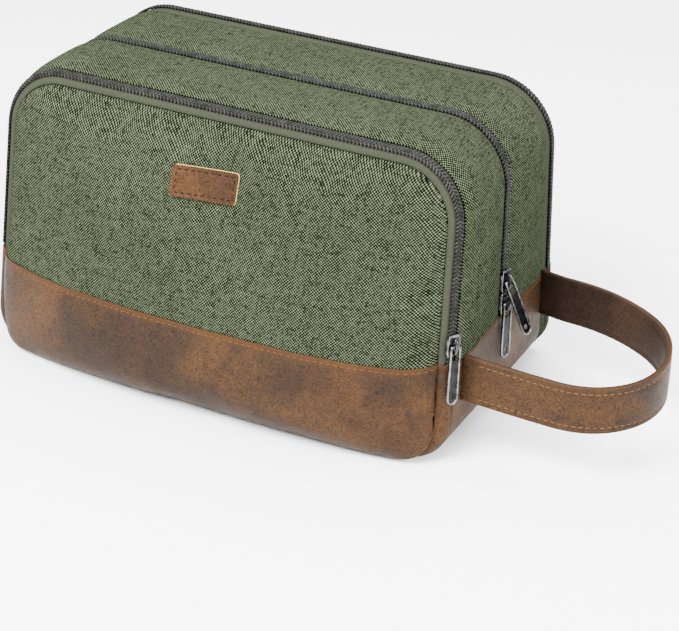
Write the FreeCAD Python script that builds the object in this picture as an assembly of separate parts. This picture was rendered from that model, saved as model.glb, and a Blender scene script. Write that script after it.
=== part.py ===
"""A zipped toiletry bag with a leather base and a side carrying loop, built as separate cut pieces.

Millimetres. The origin is the centre of the flat base on the surface that the bag stands on.
+X runs to the side with the carrying loop, +Y to the back, +Z up.

The bag is a soft box. Three closed seam lines run round it: FRONT, MIDDLE and REAR. Each lies
in a plane that leans a little, because the bag is deeper at its base than at its top. A point
on the shell is given by its seam line, its inset from the outline, and its shift towards the back.
"""
import FreeCAD, Part
import math
import os

# Outline of the bag, seen from the front
HEIGHT = 163.0
BASE_WIDTH = 277.4
TOP_WIDTH = 267.0
TOP_RADIUS = 35.0
BASE_RADIUS = 22.0

# Seam lines: position at the base, and how far back each is at the top
BASE_DEPTH = 143.0
FRONT = {"y": -BASE_DEPTH / 2, "lean": 18.6}
MIDDLE = {"y": -2.3, "lean": 6.95}
REAR = {"y": BASE_DEPTH / 2 - 1.0, "lean": -4.7}

# Heights of the leather, and of the line that the outer panels fold along when unzipped
LEATHER_TOP = 56.5
FOLD_HEIGHT = 80.0
FOLD_GAP = 0.3

# Layers of the walls, from outside to inside
CANVAS = 1.2
LEATHER = 1.4
FOAM = 2.0
LINING = 0.5
LAYER_GAP = 0.1
INNER_FACE = LEATHER + FOAM + LINING + 3 * LAYER_GAP

# Stuffed crown of the front and rear panels
FRONT_CROWN = 22.0
REAR_CROWN = 12.0
CROWN_REACH = 62.0
CROWN_STEPS = 6
FRONT_SEAM_INSET = 7.2
REAR_SEAM_INSET = 3.6
PANEL_GAP = 0.1

# Edges of the gusset pieces, as shifts from the seam lines that they lie beside
GUSSET_FRONT_EDGE = 6.6
GUSSET_REAR_EDGE = -12.0
MAIN_ZIP_FRONT_EDGE = -4.7
MAIN_ZIP_REAR_EDGE = 4.5
FOAM_FRONT_EDGE = 16.0
FOAM_REAR_EDGE = -19.0
FOAM_ZIP_EDGE = 15.5
LINING_FRONT_EDGE = 9.0
LINING_REAR_EDGE = -13.2
LINING_ZIP_EDGE = 5.5
BASE_FOAM_DROP = 4.0

# Cloth walls between the outer pockets and the main compartment
DIVIDER = 0.8
FRONT_DIVIDER_SHIFT = 8.0
REAR_DIVIDER_SHIFT = -12.8

# Inner layers of the outer panels, measured in from the panels' own edges
PANEL_LAYERS_FRONT_INSET = 5.0
PANEL_LAYERS_REAR_INSET = 7.0
PANEL_LAYERS_FLATTER = 0.4

# Zip chain: two coils on two tapes
COIL_HALF_WIDTH = 3.0
COIL_GAP = 0.7
COIL_RISE = 1.2
COIL_DEPTH = 1.25
TAPE = 0.5
ZIP_END_HEIGHT = LEATHER_TOP
TAPE_REACH = 3.2
REAR_TAPE_REACH = 2.4
TAPE_INSET = CANVAS + 0.15

# Where each zip's chain lies in the wall's section, and the way across it, as (inset, shift)
FRONT_ZIP_PLACE = ((1.5, 2.85), (-3.0, 5.3))
MAIN_ZIP_PLACE = ((0.0, 0.0), (-0.208, 0.978))
REAR_ZIP_PLACE = ((-0.3, -3.2), (0.5, 5.5))

# Where the tapes run on under the cloth, and the bands below the zips' ends, as (inset, shift) points
FRONT_OUTER_TAPE = [(FRONT_SEAM_INSET, 0.2)]
FRONT_INNER_TAPE = [(TAPE_INSET, 6.5), (TAPE_INSET, 14.5)]
MAIN_FRONT_TAPE = [(TAPE_INSET, -14.0)]
MAIN_REAR_TAPE = [(TAPE_INSET, 4.4), (TAPE_INSET, 14.0)]
REAR_INNER_TAPE = [(TAPE_INSET, -10.0), (TAPE_INSET, -18.0)]
REAR_OUTER_TAPE = [(4.8, -1.45), (8.0, -0.25)]
FRONT_BAND = [(FRONT_SEAM_INSET, 0.2), (3.2, 0.9), (0.9, 3.0), (0, 5.2), (0, 6.4)]
REAR_BAND = [(0, -11.8), (0, -5.5), (1.0, -2.0), (3.2, 0.2)]

# Slider
SLIDER_LENGTH = 12.0
SLIDER_WIDTH = 8.2
SLIDER_TAIL_WIDTH = 6.8
SLIDER_FOOT_WIDTH = 3.2
PLATE = 1.0
RUNNING_GAP = 0.3
BAIL_WIDTH = 1.6
BAIL_SPAN = 9.0
BAIL_RISE = 2.4
BAIL_THICK = 0.8
BAIL_CORNER = 1.6
BAIL_SHOULDER = 1.0
POST_WIDTH = 0.8
POST_LENGTH = 3.0
POST_PLACE = 3.5
POST_BITE = 0.4
SLIDER_CORNER = 0.6
SLIDER_WAIST = 1.5
SLIDER_SHOULDER = 2.0
FLANGE = 0.6
FLANGE_DEPTH = 1.6
FLANGE_MIDDLE = 1.0
FLANGE_SHORTER = 4.0

# Pull tab
PULL_LENGTH = 31.5
PULL_WIDTH = 7.0
PULL_TOP_WIDTH = 6.4
PULL_THICK = 1.4
PULL_RIM = 0.85
PULL_WINDOW = 7.0
PIVOT_RADIUS = 0.7
PIVOT_HEIGHT = 1.25

# Carrying loop, seen from above: a front leg, two arcs round the hand, a flat arc and a rear leg
STRAP_WIDTH = 26.5
STRAP_HEIGHT = 45.0
STRAP_LAYER = 1.6
STRAP_HINGE_X = 152.0
STRAP_FRONT_Y = -51.0
STRAP_FRONT_LEG = 38.0
STRAP_ARCS = ((41.0, 90.0), (48.0, 58.0), (140.0, 20.0))
STRAP_SEAM_X = 138.1
STRAP_FRONT_SEAM_Y = -51.0
STRAP_REAR_SEAM_Y = 57.0
STRAP_ROOT_END_X = 141.8

# Label patch
LABEL_WIDTH = 37.0
LABEL_HEIGHT = 17.0
LABEL_CENTRE = (0.0, 127.0)
LABEL_THICK = 1.0
LABEL_RADIUS = 2.0

LARGE = 1000.0
FLAT_WITHIN = 1e-6


# ---- outline and shell surfaces ----

def half_width(z):
    """Half the bag's outer width at a height."""
    return (BASE_WIDTH - (BASE_WIDTH - TOP_WIDTH) * z / HEIGHT) / 2


def seam_y(seam, z):
    """Where a seam line's plane is at a height."""
    return seam["y"] + seam["lean"] * z / HEIGHT


def rounded_corners(points, radii):
    """Start, middle and end of the arc at each corner of a polygon."""
    arcs = []
    for i, (corner, radius) in enumerate(zip(points, radii)):
        before = (points[i - 1] - corner).normalize()
        after = (points[(i + 1) % len(points)] - corner).normalize()
        half_angle = before.getAngle(after) / 2
        reach = radius / math.tan(half_angle)
        inward = (before + after).normalize()
        middle = corner + inward * (radius / math.sin(half_angle) - radius)
        arcs.append((corner + before * reach, middle, corner + after * reach))
    return arcs


def seam_wire(seam, inset, shift):
    """The bag's outline, moved in by inset and back by shift from a seam line."""
    low, high = inset, HEIGHT - inset
    corners = [
        FreeCAD.Vector(-half_width(low) + inset, 0, low),
        FreeCAD.Vector(half_width(low) - inset, 0, low),
        FreeCAD.Vector(half_width(high) - inset, 0, high),
        FreeCAD.Vector(-half_width(high) + inset, 0, high),
    ]
    base_radius = max(BASE_RADIUS - inset, 2.0)
    top_radius = max(TOP_RADIUS - inset, 2.0)
    arcs = rounded_corners(corners, (base_radius, base_radius, top_radius, top_radius))

    def placed(point):
        return FreeCAD.Vector(point.x, seam_y(seam, point.z) + shift, point.z)

    edges = []
    for i, (start, middle, end) in enumerate(arcs):
        edges.append(Part.Arc(placed(start), placed(middle), placed(end)).toShape())
        following = arcs[(i + 1) % len(arcs)][0]
        edges.append(Part.LineSegment(placed(end), placed(following)).toShape())
    return Part.Wire(edges)


def solid_of(faces):
    """A closed solid with its faces outwards."""
    shell = Part.makeShell(faces)
    shell.sewShape()
    solid = Part.makeSolid(shell)
    if solid.Volume < 0:
        solid.reverse()
    return solid


def face_between(edge, other):
    """The face between two matching edges, flat where two straight edges lie in one plane."""
    start, end = (vertex.Point for vertex in edge.Vertexes)
    other_start, other_end = (vertex.Point for vertex in other.Vertexes)
    normal = (end - start).cross(other_start - start).normalize()
    straight = edge.Curve.TypeId == "Part::GeomLine" and other.Curve.TypeId == "Part::GeomLine"
    if straight and abs(normal.dot(other_end - start)) < FLAT_WITHIN:
        return Part.Face(Part.makePolygon([start, end, other_end, other_start, start]))
    return Part.makeRuledSurface(edge, other)


def faces_between(wire, other):
    return [face_between(edge, match) for edge, match in zip(wire.Edges, other.Edges)]


def ring(section):
    """A band right round the bag. The section is a polygon of (seam, inset, shift) points."""
    wires = [seam_wire(*point) for point in section]
    faces = []
    for wire, following in zip(wires, wires[1:] + wires[:1]):
        faces += faces_between(wire, following)
    return solid_of(faces)


def crowned_panel(seam, seam_inset, crown, outer, inner):
    """A layer of a stuffed outer panel, from outer to inner millimetres below its outer face."""
    sign = 1 if crown > 0 else -1

    def wires(depth):
        made = []
        for step in range(CROWN_STEPS + 1):
            part = step / CROWN_STEPS
            rise = crown * (1 - (1 - part) ** 2.2)
            inset = seam_inset + CROWN_REACH * part + depth * (1 - part)
            made.append(seam_wire(seam, inset, rise - sign * depth))
        return made

    outside, inside = wires(outer), wires(inner)
    faces = []
    for layer in (outside, inside):
        for wire, following in zip(layer, layer[1:]):
            faces += faces_between(wire, following)
        faces.append(Part.Face(layer[-1]))
    faces += faces_between(outside[0], inside[0])
    return solid_of(faces)


def plate_across(seam, inset, shift, thickness):
    """A flat panel that closes the bag's section behind a seam line."""
    wires = [seam_wire(seam, inset, shift), seam_wire(seam, inset, shift + thickness)]
    return Part.makeLoft(wires, True, True)


def between(shape, low, high):
    """The part of a shape between two heights."""
    box = Part.makeBox(LARGE, LARGE, high - low, FreeCAD.Vector(-LARGE / 2, -LARGE / 2, low))
    return shape.common(box)


def above(shape, height):
    return between(shape, height, height + LARGE)


def below(shape, height):
    return between(shape, height - LARGE, height)


# ---- zips ----

def zip_chain(seam, centre, direction):
    """A zip's place in the section: its seam line, centre and the way across it, as (inset, shift)."""
    length = math.hypot(*direction)
    across = (direction[0] / length, direction[1] / length)
    return {"seam": seam, "centre": centre, "across": across}


def zip_point(chain, across, outward):
    """A point of the section, measured across the chain and outwards from its middle."""
    inset_step, shift_step = chain["across"]
    inset = chain["centre"][0] + across * inset_step - outward * shift_step
    shift = chain["centre"][1] + across * shift_step + outward * inset_step
    return (chain["seam"], inset, shift)


def coil(chain, side):
    """One coil of the chain, as its envelope. side is -1 for the front coil and 1 for the rear one."""
    near, far = side * COIL_GAP, side * COIL_HALF_WIDTH
    corner = 0.6
    section = [
        zip_point(chain, near, -COIL_DEPTH),
        zip_point(chain, far, -COIL_DEPTH),
        zip_point(chain, far, COIL_RISE - corner),
        zip_point(chain, far - side * corner, COIL_RISE),
        zip_point(chain, near, COIL_RISE),
    ]
    return above(ring(section), ZIP_END_HEIGHT)


def strip(seam, line, thickness):
    """A band right round the bag, a thickness of material under a line of (inset, shift) points.
    The material lies inside a line that runs backwards, and outside one that runs forwards."""
    normals = []
    for (inset, shift), (next_inset, next_shift) in zip(line, line[1:]):
        length = math.hypot(next_inset - inset, next_shift - shift)
        normals.append(((next_shift - shift) / length, -(next_inset - inset) / length))
    under = []
    for point, before, after in zip(line, normals[:1] + normals, normals + normals[-1:]):
        scale = thickness / (1 + before[0] * after[0] + before[1] * after[1])
        under.append((point[0] + (before[0] + after[0]) * scale, point[1] + (before[1] + after[1]) * scale))
    return ring([(seam, *point) for point in line + under[::-1]])


def tape(chain, side, reach, route):
    """The woven tape under one coil. It leaves the chain at reach and runs on through route."""
    depth = COIL_DEPTH + LAYER_GAP
    line = [zip_point(chain, side * across, -depth)[1:] for across in (COIL_GAP, reach)]
    return above(strip(chain["seam"], line + route, side * TAPE), ZIP_END_HEIGHT)


FRONT_ZIP = zip_chain(FRONT, *FRONT_ZIP_PLACE)
MAIN_ZIP = zip_chain(MIDDLE, *MAIN_ZIP_PLACE)
REAR_ZIP = zip_chain(REAR, *REAR_ZIP_PLACE)


def zip_frame(chain, side, z):
    """Where a slider sits: a placement with X across the zip, Y along it and Z outwards.
    side is 1 on the loop's side of the bag and -1 on the other."""
    inset_step, shift_step = chain["across"]
    _, inset, shift = zip_point(chain, 0, 0)
    origin = FreeCAD.Vector(side * (half_width(z) - inset), seam_y(chain["seam"], z) + shift, z)
    taper = -side * (BASE_WIDTH - TOP_WIDTH) / 2 / HEIGHT
    along = FreeCAD.Vector(taper, chain["seam"]["lean"] / HEIGHT, 1).normalize()
    outward = FreeCAD.Vector(side * shift_step, inset_step, 0)
    outward = (outward - along * outward.dot(along)).normalize()
    across = along.cross(outward)
    matrix = FreeCAD.Matrix(
        across.x, along.x, outward.x, origin.x,
        across.y, along.y, outward.y, origin.y,
        across.z, along.z, outward.z, origin.z,
        0, 0, 0, 1,
    )
    return FreeCAD.Placement(matrix)


def box_at(centre, size):
    corner = FreeCAD.Vector(*(c - s / 2 for c, s in zip(centre, size)))
    return Part.makeBox(*size, corner)


def prism(points, low, high):
    """A polygon in the XY plane, raised from low to high along Z."""
    corners = [FreeCAD.Vector(x, y, low) for x, y in points]
    face = Part.Face(Part.makePolygon(corners + corners[:1]))
    return face.extrude(FreeCAD.Vector(0, 0, high - low))


def slider(mouth):
    """A zip slider in its own frame, with its wide mouth towards mouth (1 up, -1 down) along Y."""
    half, tail = SLIDER_WIDTH / 2, SLIDER_TAIL_WIDTH / 2
    end = SLIDER_LENGTH / 2
    right = [(tail, -end), (tail + SLIDER_CORNER / 2, -SLIDER_WAIST), (half, SLIDER_SHOULDER),
             (half - SLIDER_CORNER, end)]
    outline = [(x, mouth * y) for x, y in right] + [(-x, mouth * y) for x, y in reversed(right)]
    top_low = COIL_RISE + RUNNING_GAP
    top = prism(outline, top_low, top_low + PLATE)
    bottom_high = -COIL_DEPTH - LAYER_GAP - TAPE - RUNNING_GAP
    bottom = box_at((0, 0, bottom_high - PLATE / 2), (SLIDER_FOOT_WIDTH, SLIDER_LENGTH, PLATE))
    post_middle = (0, mouth * POST_PLACE, (top_low + bottom_high) / 2)
    post = box_at(post_middle, (POST_WIDTH, POST_LENGTH, top_low - bottom_high + POST_BITE))
    body = top.fuse([bottom, post])
    flange_in = COIL_HALF_WIDTH + RUNNING_GAP
    for side in (-1, 1):
        flange_middle = (side * (flange_in + FLANGE / 2), mouth * 0.5, FLANGE_MIDDLE)
        flange = box_at(flange_middle, (FLANGE, SLIDER_LENGTH - FLANGE_SHORTER, FLANGE_DEPTH))
        body = body.fuse(flange)
    return body.fuse(bail(top_low + PLATE)).removeSplitter()


def bail(base):
    """The bridge over the slider that holds the pull."""
    half = BAIL_SPAN / 2
    top = base + BAIL_RISE
    outer = [(-half, base), (-half, top - BAIL_THICK), (-half + BAIL_CORNER, top + BAIL_THICK)]
    outer += [(-y, z) for y, z in reversed(outer)]
    within = half - BAIL_THICK
    inner = [(within, base), (within, top - BAIL_SHOULDER), (half - BAIL_CORNER - 0.3, top)]
    inner += [(-y, z) for y, z in reversed(inner)]
    corners = [FreeCAD.Vector(-BAIL_WIDTH / 2, y, z) for y, z in outer + inner]
    face = Part.Face(Part.makePolygon(corners + corners[:1]))
    return face.extrude(FreeCAD.Vector(BAIL_WIDTH, 0, 0))


def pull_pivot_height():
    """How far the pull's pivot stands out from the middle of the chain."""
    return COIL_RISE + RUNNING_GAP + PLATE + PIVOT_HEIGHT


def tab_outline(grow, top, length, low, high):
    """The pull's outline: a narrow top, a wider foot and a round end."""
    wide = PULL_WIDTH / 2 + grow
    narrow = PULL_TOP_WIDTH / 2 + grow
    foot = -(length - wide)
    points = [(-narrow, top), (-wide, foot), (wide, foot), (narrow, top)]
    tab = prism(points, low, high)
    end = Part.makeCylinder(wide, high - low, FreeCAD.Vector(0, foot, low))
    return tab.fuse(end).removeSplitter()


def pull():
    """A pull tab hanging from its pivot at the origin, down along -Y, with its face along Z."""
    half = PULL_THICK / 2
    rim = tab_outline(0, PIVOT_RADIUS, PULL_LENGTH, -half, half)
    recess = tab_outline(-PULL_RIM, -PULL_WINDOW - 1.0, PULL_LENGTH - PULL_RIM, -half, half)
    window = box_at((0, -PULL_WINDOW / 2 - PIVOT_RADIUS / 2, 0),
                    (PULL_TOP_WIDTH - 2 * PULL_RIM, PULL_WINDOW - PIVOT_RADIUS, 2 * PULL_THICK))
    hole = Part.makeCylinder(1.3, 2 * PULL_THICK, FreeCAD.Vector(0, -PULL_LENGTH + 4.2, -PULL_THICK))
    infill = tab_outline(-PULL_RIM + 0.1, -PULL_WINDOW - 0.9, PULL_LENGTH - PULL_RIM,
                         -half * 0.45, half * 0.45)
    notch = box_at((0, PIVOT_RADIUS, 0), (PULL_WIDTH * 2, PIVOT_RADIUS * 2, PULL_THICK * 2))
    pivot = Part.makeCylinder(PIVOT_RADIUS, PULL_TOP_WIDTH, FreeCAD.Vector(-PULL_TOP_WIDTH / 2, 0, 0),
                              FreeCAD.Vector(1, 0, 0))
    tab = rim.cut(recess).cut(window).cut(notch).fuse([infill, pivot]).cut(hole)
    return tab.removeSplitter()


# Each slider: its zip, side, height, mouth, and how its pull hangs: twist, lean and lift in degrees
SLIDERS = {
    "front": (FRONT_ZIP, 1, 67.5, -1, (0.0, 0.0, 0.0)),
    "main_upper": (MAIN_ZIP, 1, 77.0, -1, (7.0, 13.0, 18.0)),
    "main_lower": (MAIN_ZIP, 1, 64.3, 1, (8.0, 0.0, 0.0)),
    "rear": (REAR_ZIP, -1, 67.5, -1, (0.0, 0.0, 0.0)),
}


def pull_placement(frame, turns):
    """Where a pull hangs on the slider at frame."""
    twist, lean, lift = turns
    pivot = FreeCAD.Placement(FreeCAD.Vector(0, 0, pull_pivot_height()), FreeCAD.Rotation())
    twisted = FreeCAD.Placement(FreeCAD.Vector(), FreeCAD.Rotation(FreeCAD.Vector(0, 1, 0), -twist))
    leaned = FreeCAD.Placement(FreeCAD.Vector(), FreeCAD.Rotation(FreeCAD.Vector(0, 0, 1), lean))
    lifted = FreeCAD.Placement(FreeCAD.Vector(), FreeCAD.Rotation(FreeCAD.Vector(1, 0, 0), -lift))
    return frame.multiply(pivot).multiply(twisted).multiply(leaned).multiply(lifted)


def slider_parts():
    """Every slider and pull, in place."""
    made = {}
    for name, (chain, side, z, mouth, turns) in SLIDERS.items():
        frame = zip_frame(chain, side, z)
        made[name + "_slider"] = slider(mouth)
        made[name + "_slider"].Placement = frame
        made[name + "_pull"] = pull()
        made[name + "_pull"].Placement = pull_placement(frame, turns)
    return made


# ---- carrying loop ----

def strap_path():
    """The loop's middle line seen from above: start point and heading, then lines and arcs."""
    point = FreeCAD.Vector(STRAP_HINGE_X, STRAP_FRONT_Y, 0)
    heading = 0.0
    end = point + FreeCAD.Vector(STRAP_FRONT_LEG, 0, 0)
    pieces = [("line", point, end)]
    for radius, turn in STRAP_ARCS:
        left = math.radians(heading + 90)
        centre = end + FreeCAD.Vector(math.cos(left), math.sin(left), 0) * radius
        pieces.append(("arc", centre, radius, heading - 90, heading - 90 + turn))
        heading += turn
        out = math.radians(heading - 90)
        end = centre + FreeCAD.Vector(math.cos(out), math.sin(out), 0) * radius
    run = (end.x - STRAP_HINGE_X) / -math.cos(math.radians(heading))
    finish = end + FreeCAD.Vector(math.cos(math.radians(heading)), math.sin(math.radians(heading)), 0) * run
    pieces.append(("line", end, finish))
    return pieces


def strap_edge(piece, offset):
    """One stretch of the path, moved outwards by offset."""
    if piece[0] == "line":
        _, start, end = piece
        along = (end - start).normalize()
        out = FreeCAD.Vector(along.y, -along.x, 0) * offset
        return start + out, None, end + out
    _, centre, radius, first, last = piece

    def at(angle):
        turn = math.radians(angle)
        return centre + FreeCAD.Vector(math.cos(turn), math.sin(turn), 0) * (radius + offset)

    return at(first), at((first + last) / 2), at(last)


def strap_slab(inner, outer):
    """The loop between two offsets from its middle line, standing STRAP_WIDTH high."""
    outward, backward = [], []
    pieces = strap_path()
    for piece in pieces:
        start, middle, end = strap_edge(piece, outer)
        outward.append(Part.LineSegment(start, end) if middle is None else Part.Arc(start, middle, end))
    for piece in reversed(pieces):
        start, middle, end = strap_edge(piece, inner)
        backward.append(Part.LineSegment(end, start) if middle is None else Part.Arc(end, middle, start))
    first_out, last_out = strap_edge(pieces[0], outer)[0], strap_edge(pieces[-1], outer)[2]
    first_in, last_in = strap_edge(pieces[0], inner)[0], strap_edge(pieces[-1], inner)[2]
    far_end, near_end = Part.LineSegment(last_out, last_in), Part.LineSegment(first_in, first_out)
    curves = outward + [far_end] + backward + [near_end]
    face = Part.Face(Part.Wire([curve.toShape() for curve in curves]))
    slab = face.extrude(FreeCAD.Vector(0, 0, STRAP_WIDTH))
    slab.translate(FreeCAD.Vector(0, 0, STRAP_HEIGHT - STRAP_WIDTH / 2))
    return slab


def hinge_disc(radius):
    """A cylinder about the line that the loop bends along."""
    return Part.makeCylinder(radius, 2 * LARGE, FreeCAD.Vector(STRAP_HINGE_X, -LARGE, STRAP_HEIGHT),
                             FreeCAD.Vector(0, 1, 0))


def root_slab(inner, outer, front):
    """The loop's straight root, from the side seam to the loop's end face."""
    if front:
        seam_y_there, out = STRAP_FRONT_SEAM_Y, -1
        near, far = (strap_edge(strap_path()[0], offset)[0] for offset in (inner, outer))
    else:
        seam_y_there, out = STRAP_REAR_SEAM_Y, 1
        near, far = (strap_edge(strap_path()[-1], offset)[2] for offset in (inner, outer))
    points = [(STRAP_SEAM_X, seam_y_there + out * inner), (near.x, near.y),
              (far.x, far.y), (STRAP_SEAM_X, seam_y_there + out * outer)]
    return prism(points, STRAP_HEIGHT - STRAP_WIDTH / 2, STRAP_HEIGHT + STRAP_WIDTH / 2)


def strap_layer(inner, outer):
    """One leather layer of the loop: the moving loop, and the two roots sewn into the seams."""
    disc = hinge_disc(STRAP_WIDTH / 2)
    socket = hinge_disc(STRAP_WIDTH / 2 + FOLD_GAP)
    swept = Part.makeBox(LARGE, LARGE, LARGE, FreeCAD.Vector(STRAP_ROOT_END_X, -LARGE / 2, -LARGE / 2))
    loop = strap_slab(inner, outer)
    roots = []
    for front in (True, False):
        root = root_slab(inner, outer, front)
        roots.append(root.cut([socket, swept]))
        loop = loop.fuse(root.common(disc))
    return loop.removeSplitter(), Part.makeCompound(roots)


# ---- panels ----

def shell_layer(front_edge, rear_edge, outer, inner):
    """A strip of the gusset between two section edges, each given as (seam, shift)."""
    return ring([(front_edge[0], outer, front_edge[1]), (rear_edge[0], outer, rear_edge[1]),
                 (rear_edge[0], inner, rear_edge[1]), (front_edge[0], inner, front_edge[1])])


def gusset_parts():
    """The top, sides and base of the bag, between the front and rear bands."""
    front_edge, rear_edge = (FRONT, GUSSET_FRONT_EDGE), (REAR, GUSSET_REAR_EDGE)
    before_zip, after_zip = (MIDDLE, MAIN_ZIP_FRONT_EDGE), (MIDDLE, MAIN_ZIP_REAR_EDGE)
    foam_out, foam_in = LEATHER + LAYER_GAP, LEATHER + LAYER_GAP + FOAM
    lining_out, lining_in = foam_in + LAYER_GAP, foam_in + LAYER_GAP + LINING
    made = {
        "gusset_front_canvas": above(shell_layer(front_edge, before_zip, 0, CANVAS), LEATHER_TOP),
        "gusset_rear_canvas": above(shell_layer(after_zip, rear_edge, 0, CANVAS), LEATHER_TOP),
        "base_leather": below(shell_layer(front_edge, rear_edge, 0, LEATHER), LEATHER_TOP - LAYER_GAP),
    }
    foam_front, foam_rear = (FRONT, FOAM_FRONT_EDGE), (REAR, FOAM_REAR_EDGE)
    front_foam = shell_layer(foam_front, (MIDDLE, -FOAM_ZIP_EDGE), foam_out, foam_in)
    rear_foam = shell_layer((MIDDLE, FOAM_ZIP_EDGE), foam_rear, foam_out, foam_in)
    base_foam = shell_layer(foam_front, foam_rear, foam_out, foam_in)
    made["gusset_front_padding"] = above(front_foam, LEATHER_TOP)
    made["gusset_rear_padding"] = above(rear_foam, LEATHER_TOP)
    made["base_padding"] = below(base_foam, LEATHER_TOP - BASE_FOAM_DROP)
    lining_front, lining_rear = (FRONT, LINING_FRONT_EDGE), (REAR, LINING_REAR_EDGE)
    front_lining = shell_layer(lining_front, (MIDDLE, -LINING_ZIP_EDGE), lining_out, lining_in)
    rear_lining = shell_layer((MIDDLE, LINING_ZIP_EDGE), lining_rear, lining_out, lining_in)
    base_lining = shell_layer(lining_front, lining_rear, lining_out, lining_in)
    made["gusset_front_lining"] = above(front_lining, LEATHER_TOP)
    made["gusset_rear_lining"] = above(rear_lining, LEATHER_TOP)
    made["base_lining"] = below(base_lining, LEATHER_TOP - LAYER_GAP)
    made["front_divider"] = plate_across(FRONT, INNER_FACE, FRONT_DIVIDER_SHIFT, DIVIDER)
    made["rear_divider"] = plate_across(REAR, INNER_FACE, REAR_DIVIDER_SHIFT, DIVIDER)
    return made


def zip_parts():
    """Coils and tapes. A coil or tape on an opening panel is cut at the fold, and its ends stay below."""
    made = {}
    cut = FOLD_HEIGHT - FOLD_GAP
    front_tape = tape(FRONT_ZIP, -1, TAPE_REACH, FRONT_OUTER_TAPE)
    front_coil = coil(FRONT_ZIP, -1)
    made["front_zip_outer_tape"] = above(front_tape, FOLD_HEIGHT)
    made["front_zip_outer_tape_ends"] = below(front_tape, cut)
    made["front_zip_outer_coil"] = above(front_coil, FOLD_HEIGHT)
    made["front_zip_outer_coil_ends"] = below(front_coil, cut)
    made["front_zip_inner_coil"] = coil(FRONT_ZIP, 1)
    made["front_zip_inner_tape"] = tape(FRONT_ZIP, 1, TAPE_REACH, FRONT_INNER_TAPE)

    made["main_zip_front_coil"] = coil(MAIN_ZIP, -1)
    made["main_zip_rear_coil"] = coil(MAIN_ZIP, 1)
    made["main_zip_front_tape"] = tape(MAIN_ZIP, -1, TAPE_REACH, MAIN_FRONT_TAPE)
    made["main_zip_rear_tape"] = tape(MAIN_ZIP, 1, TAPE_REACH, MAIN_REAR_TAPE)

    rear_coil = coil(REAR_ZIP, 1)
    rear_tape = tape(REAR_ZIP, 1, REAR_TAPE_REACH, REAR_OUTER_TAPE)
    made["rear_zip_inner_coil"] = coil(REAR_ZIP, -1)
    made["rear_zip_inner_tape"] = tape(REAR_ZIP, -1, TAPE_REACH, REAR_INNER_TAPE)
    made["rear_zip_outer_coil"] = above(rear_coil, FOLD_HEIGHT)
    made["rear_zip_outer_coil_ends"] = below(rear_coil, cut)
    made["rear_zip_outer_tape"] = above(rear_tape, FOLD_HEIGHT)
    made["rear_zip_outer_tape_ends"] = below(rear_tape, cut)
    return made


def band_parts():
    """The narrow strips that go on round the base below the ends of the outer zips."""
    front = strip(FRONT, FRONT_BAND, LEATHER)
    rear = strip(REAR, REAR_BAND, CANVAS)
    return {
        "front_band_leather": below(front, ZIP_END_HEIGHT - LAYER_GAP),
        "rear_band_canvas": below(rear, ZIP_END_HEIGHT - LAYER_GAP),
    }


def outer_panels():
    """The stuffed front and rear panels. Above the fold they open; below it they stay."""
    made = {}
    cut = FOLD_HEIGHT - FOLD_GAP
    front = crowned_panel(FRONT, FRONT_SEAM_INSET + PANEL_GAP, -FRONT_CROWN, 0, CANVAS)
    rear = crowned_panel(REAR, REAR_SEAM_INSET, REAR_CROWN, 0, CANVAS)
    made["front_canvas_panel"] = above(front, FOLD_HEIGHT)
    made["front_canvas_lower"] = between(front, LEATHER_TOP, cut)
    leather = crowned_panel(FRONT, FRONT_SEAM_INSET + PANEL_GAP, -FRONT_CROWN, 0, LEATHER)
    made["front_leather_panel"] = below(leather, LEATHER_TOP - LAYER_GAP)
    made["rear_canvas_panel"] = above(rear, FOLD_HEIGHT)
    made["rear_canvas_lower"] = below(rear, cut)
    foam_out = LEATHER + LAYER_GAP
    foam_in = foam_out + FOAM
    lining_out, lining_in = foam_in + LAYER_GAP, foam_in + LAYER_GAP + LINING
    front_layers = (FRONT, FRONT_SEAM_INSET + PANEL_LAYERS_FRONT_INSET, -FRONT_CROWN + PANEL_LAYERS_FLATTER)
    rear_layers = (REAR, REAR_SEAM_INSET + PANEL_LAYERS_REAR_INSET, REAR_CROWN - PANEL_LAYERS_FLATTER)
    for name, (seam, inset, crown) in (("front", front_layers), ("rear", rear_layers)):
        foam = crowned_panel(seam, inset, crown, foam_out, foam_in)
        lining = crowned_panel(seam, inset, crown, lining_out, lining_in)
        made[name + "_panel_padding"] = above(foam, FOLD_HEIGHT)
        made[name + "_panel_lining"] = above(lining, FOLD_HEIGHT)
        made[name + "_lower_padding"] = below(foam, cut)
        made[name + "_lower_lining"] = below(lining, cut)
    return made


def label_patch():
    """A blank leather patch on the front panel's flat crown."""
    x, z = LABEL_CENTRE
    block = Part.makeBox(LABEL_WIDTH, 60, LABEL_HEIGHT,
                         FreeCAD.Vector(x - LABEL_WIDTH / 2, seam_y(FRONT, z) - 40, z - LABEL_HEIGHT / 2))
    upright = [edge for edge in block.Edges if abs(edge.tangentAt(edge.FirstParameter).y) > 0.9]
    block = block.makeFillet(LABEL_RADIUS, upright)
    inset = FRONT_SEAM_INSET + PANEL_GAP
    outside = crowned_panel(FRONT, inset, -FRONT_CROWN, -LAYER_GAP - LABEL_THICK, -LAYER_GAP)
    return block.common(outside)


def all_parts():
    made = {}
    made.update(outer_panels())
    made["label_patch"] = label_patch()
    made.update(band_parts())
    made.update(gusset_parts())
    made.update(zip_parts())
    made.update(slider_parts())
    loop_outer, roots_outer = strap_layer(LAYER_GAP / 2, STRAP_LAYER)
    loop_inner, roots_inner = strap_layer(-STRAP_LAYER, -LAYER_GAP / 2)
    made["strap_outer"] = loop_outer
    made["strap_inner"] = loop_inner
    made["strap_outer_roots"] = roots_outer
    made["strap_inner_roots"] = roots_inner
    return made


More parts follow.
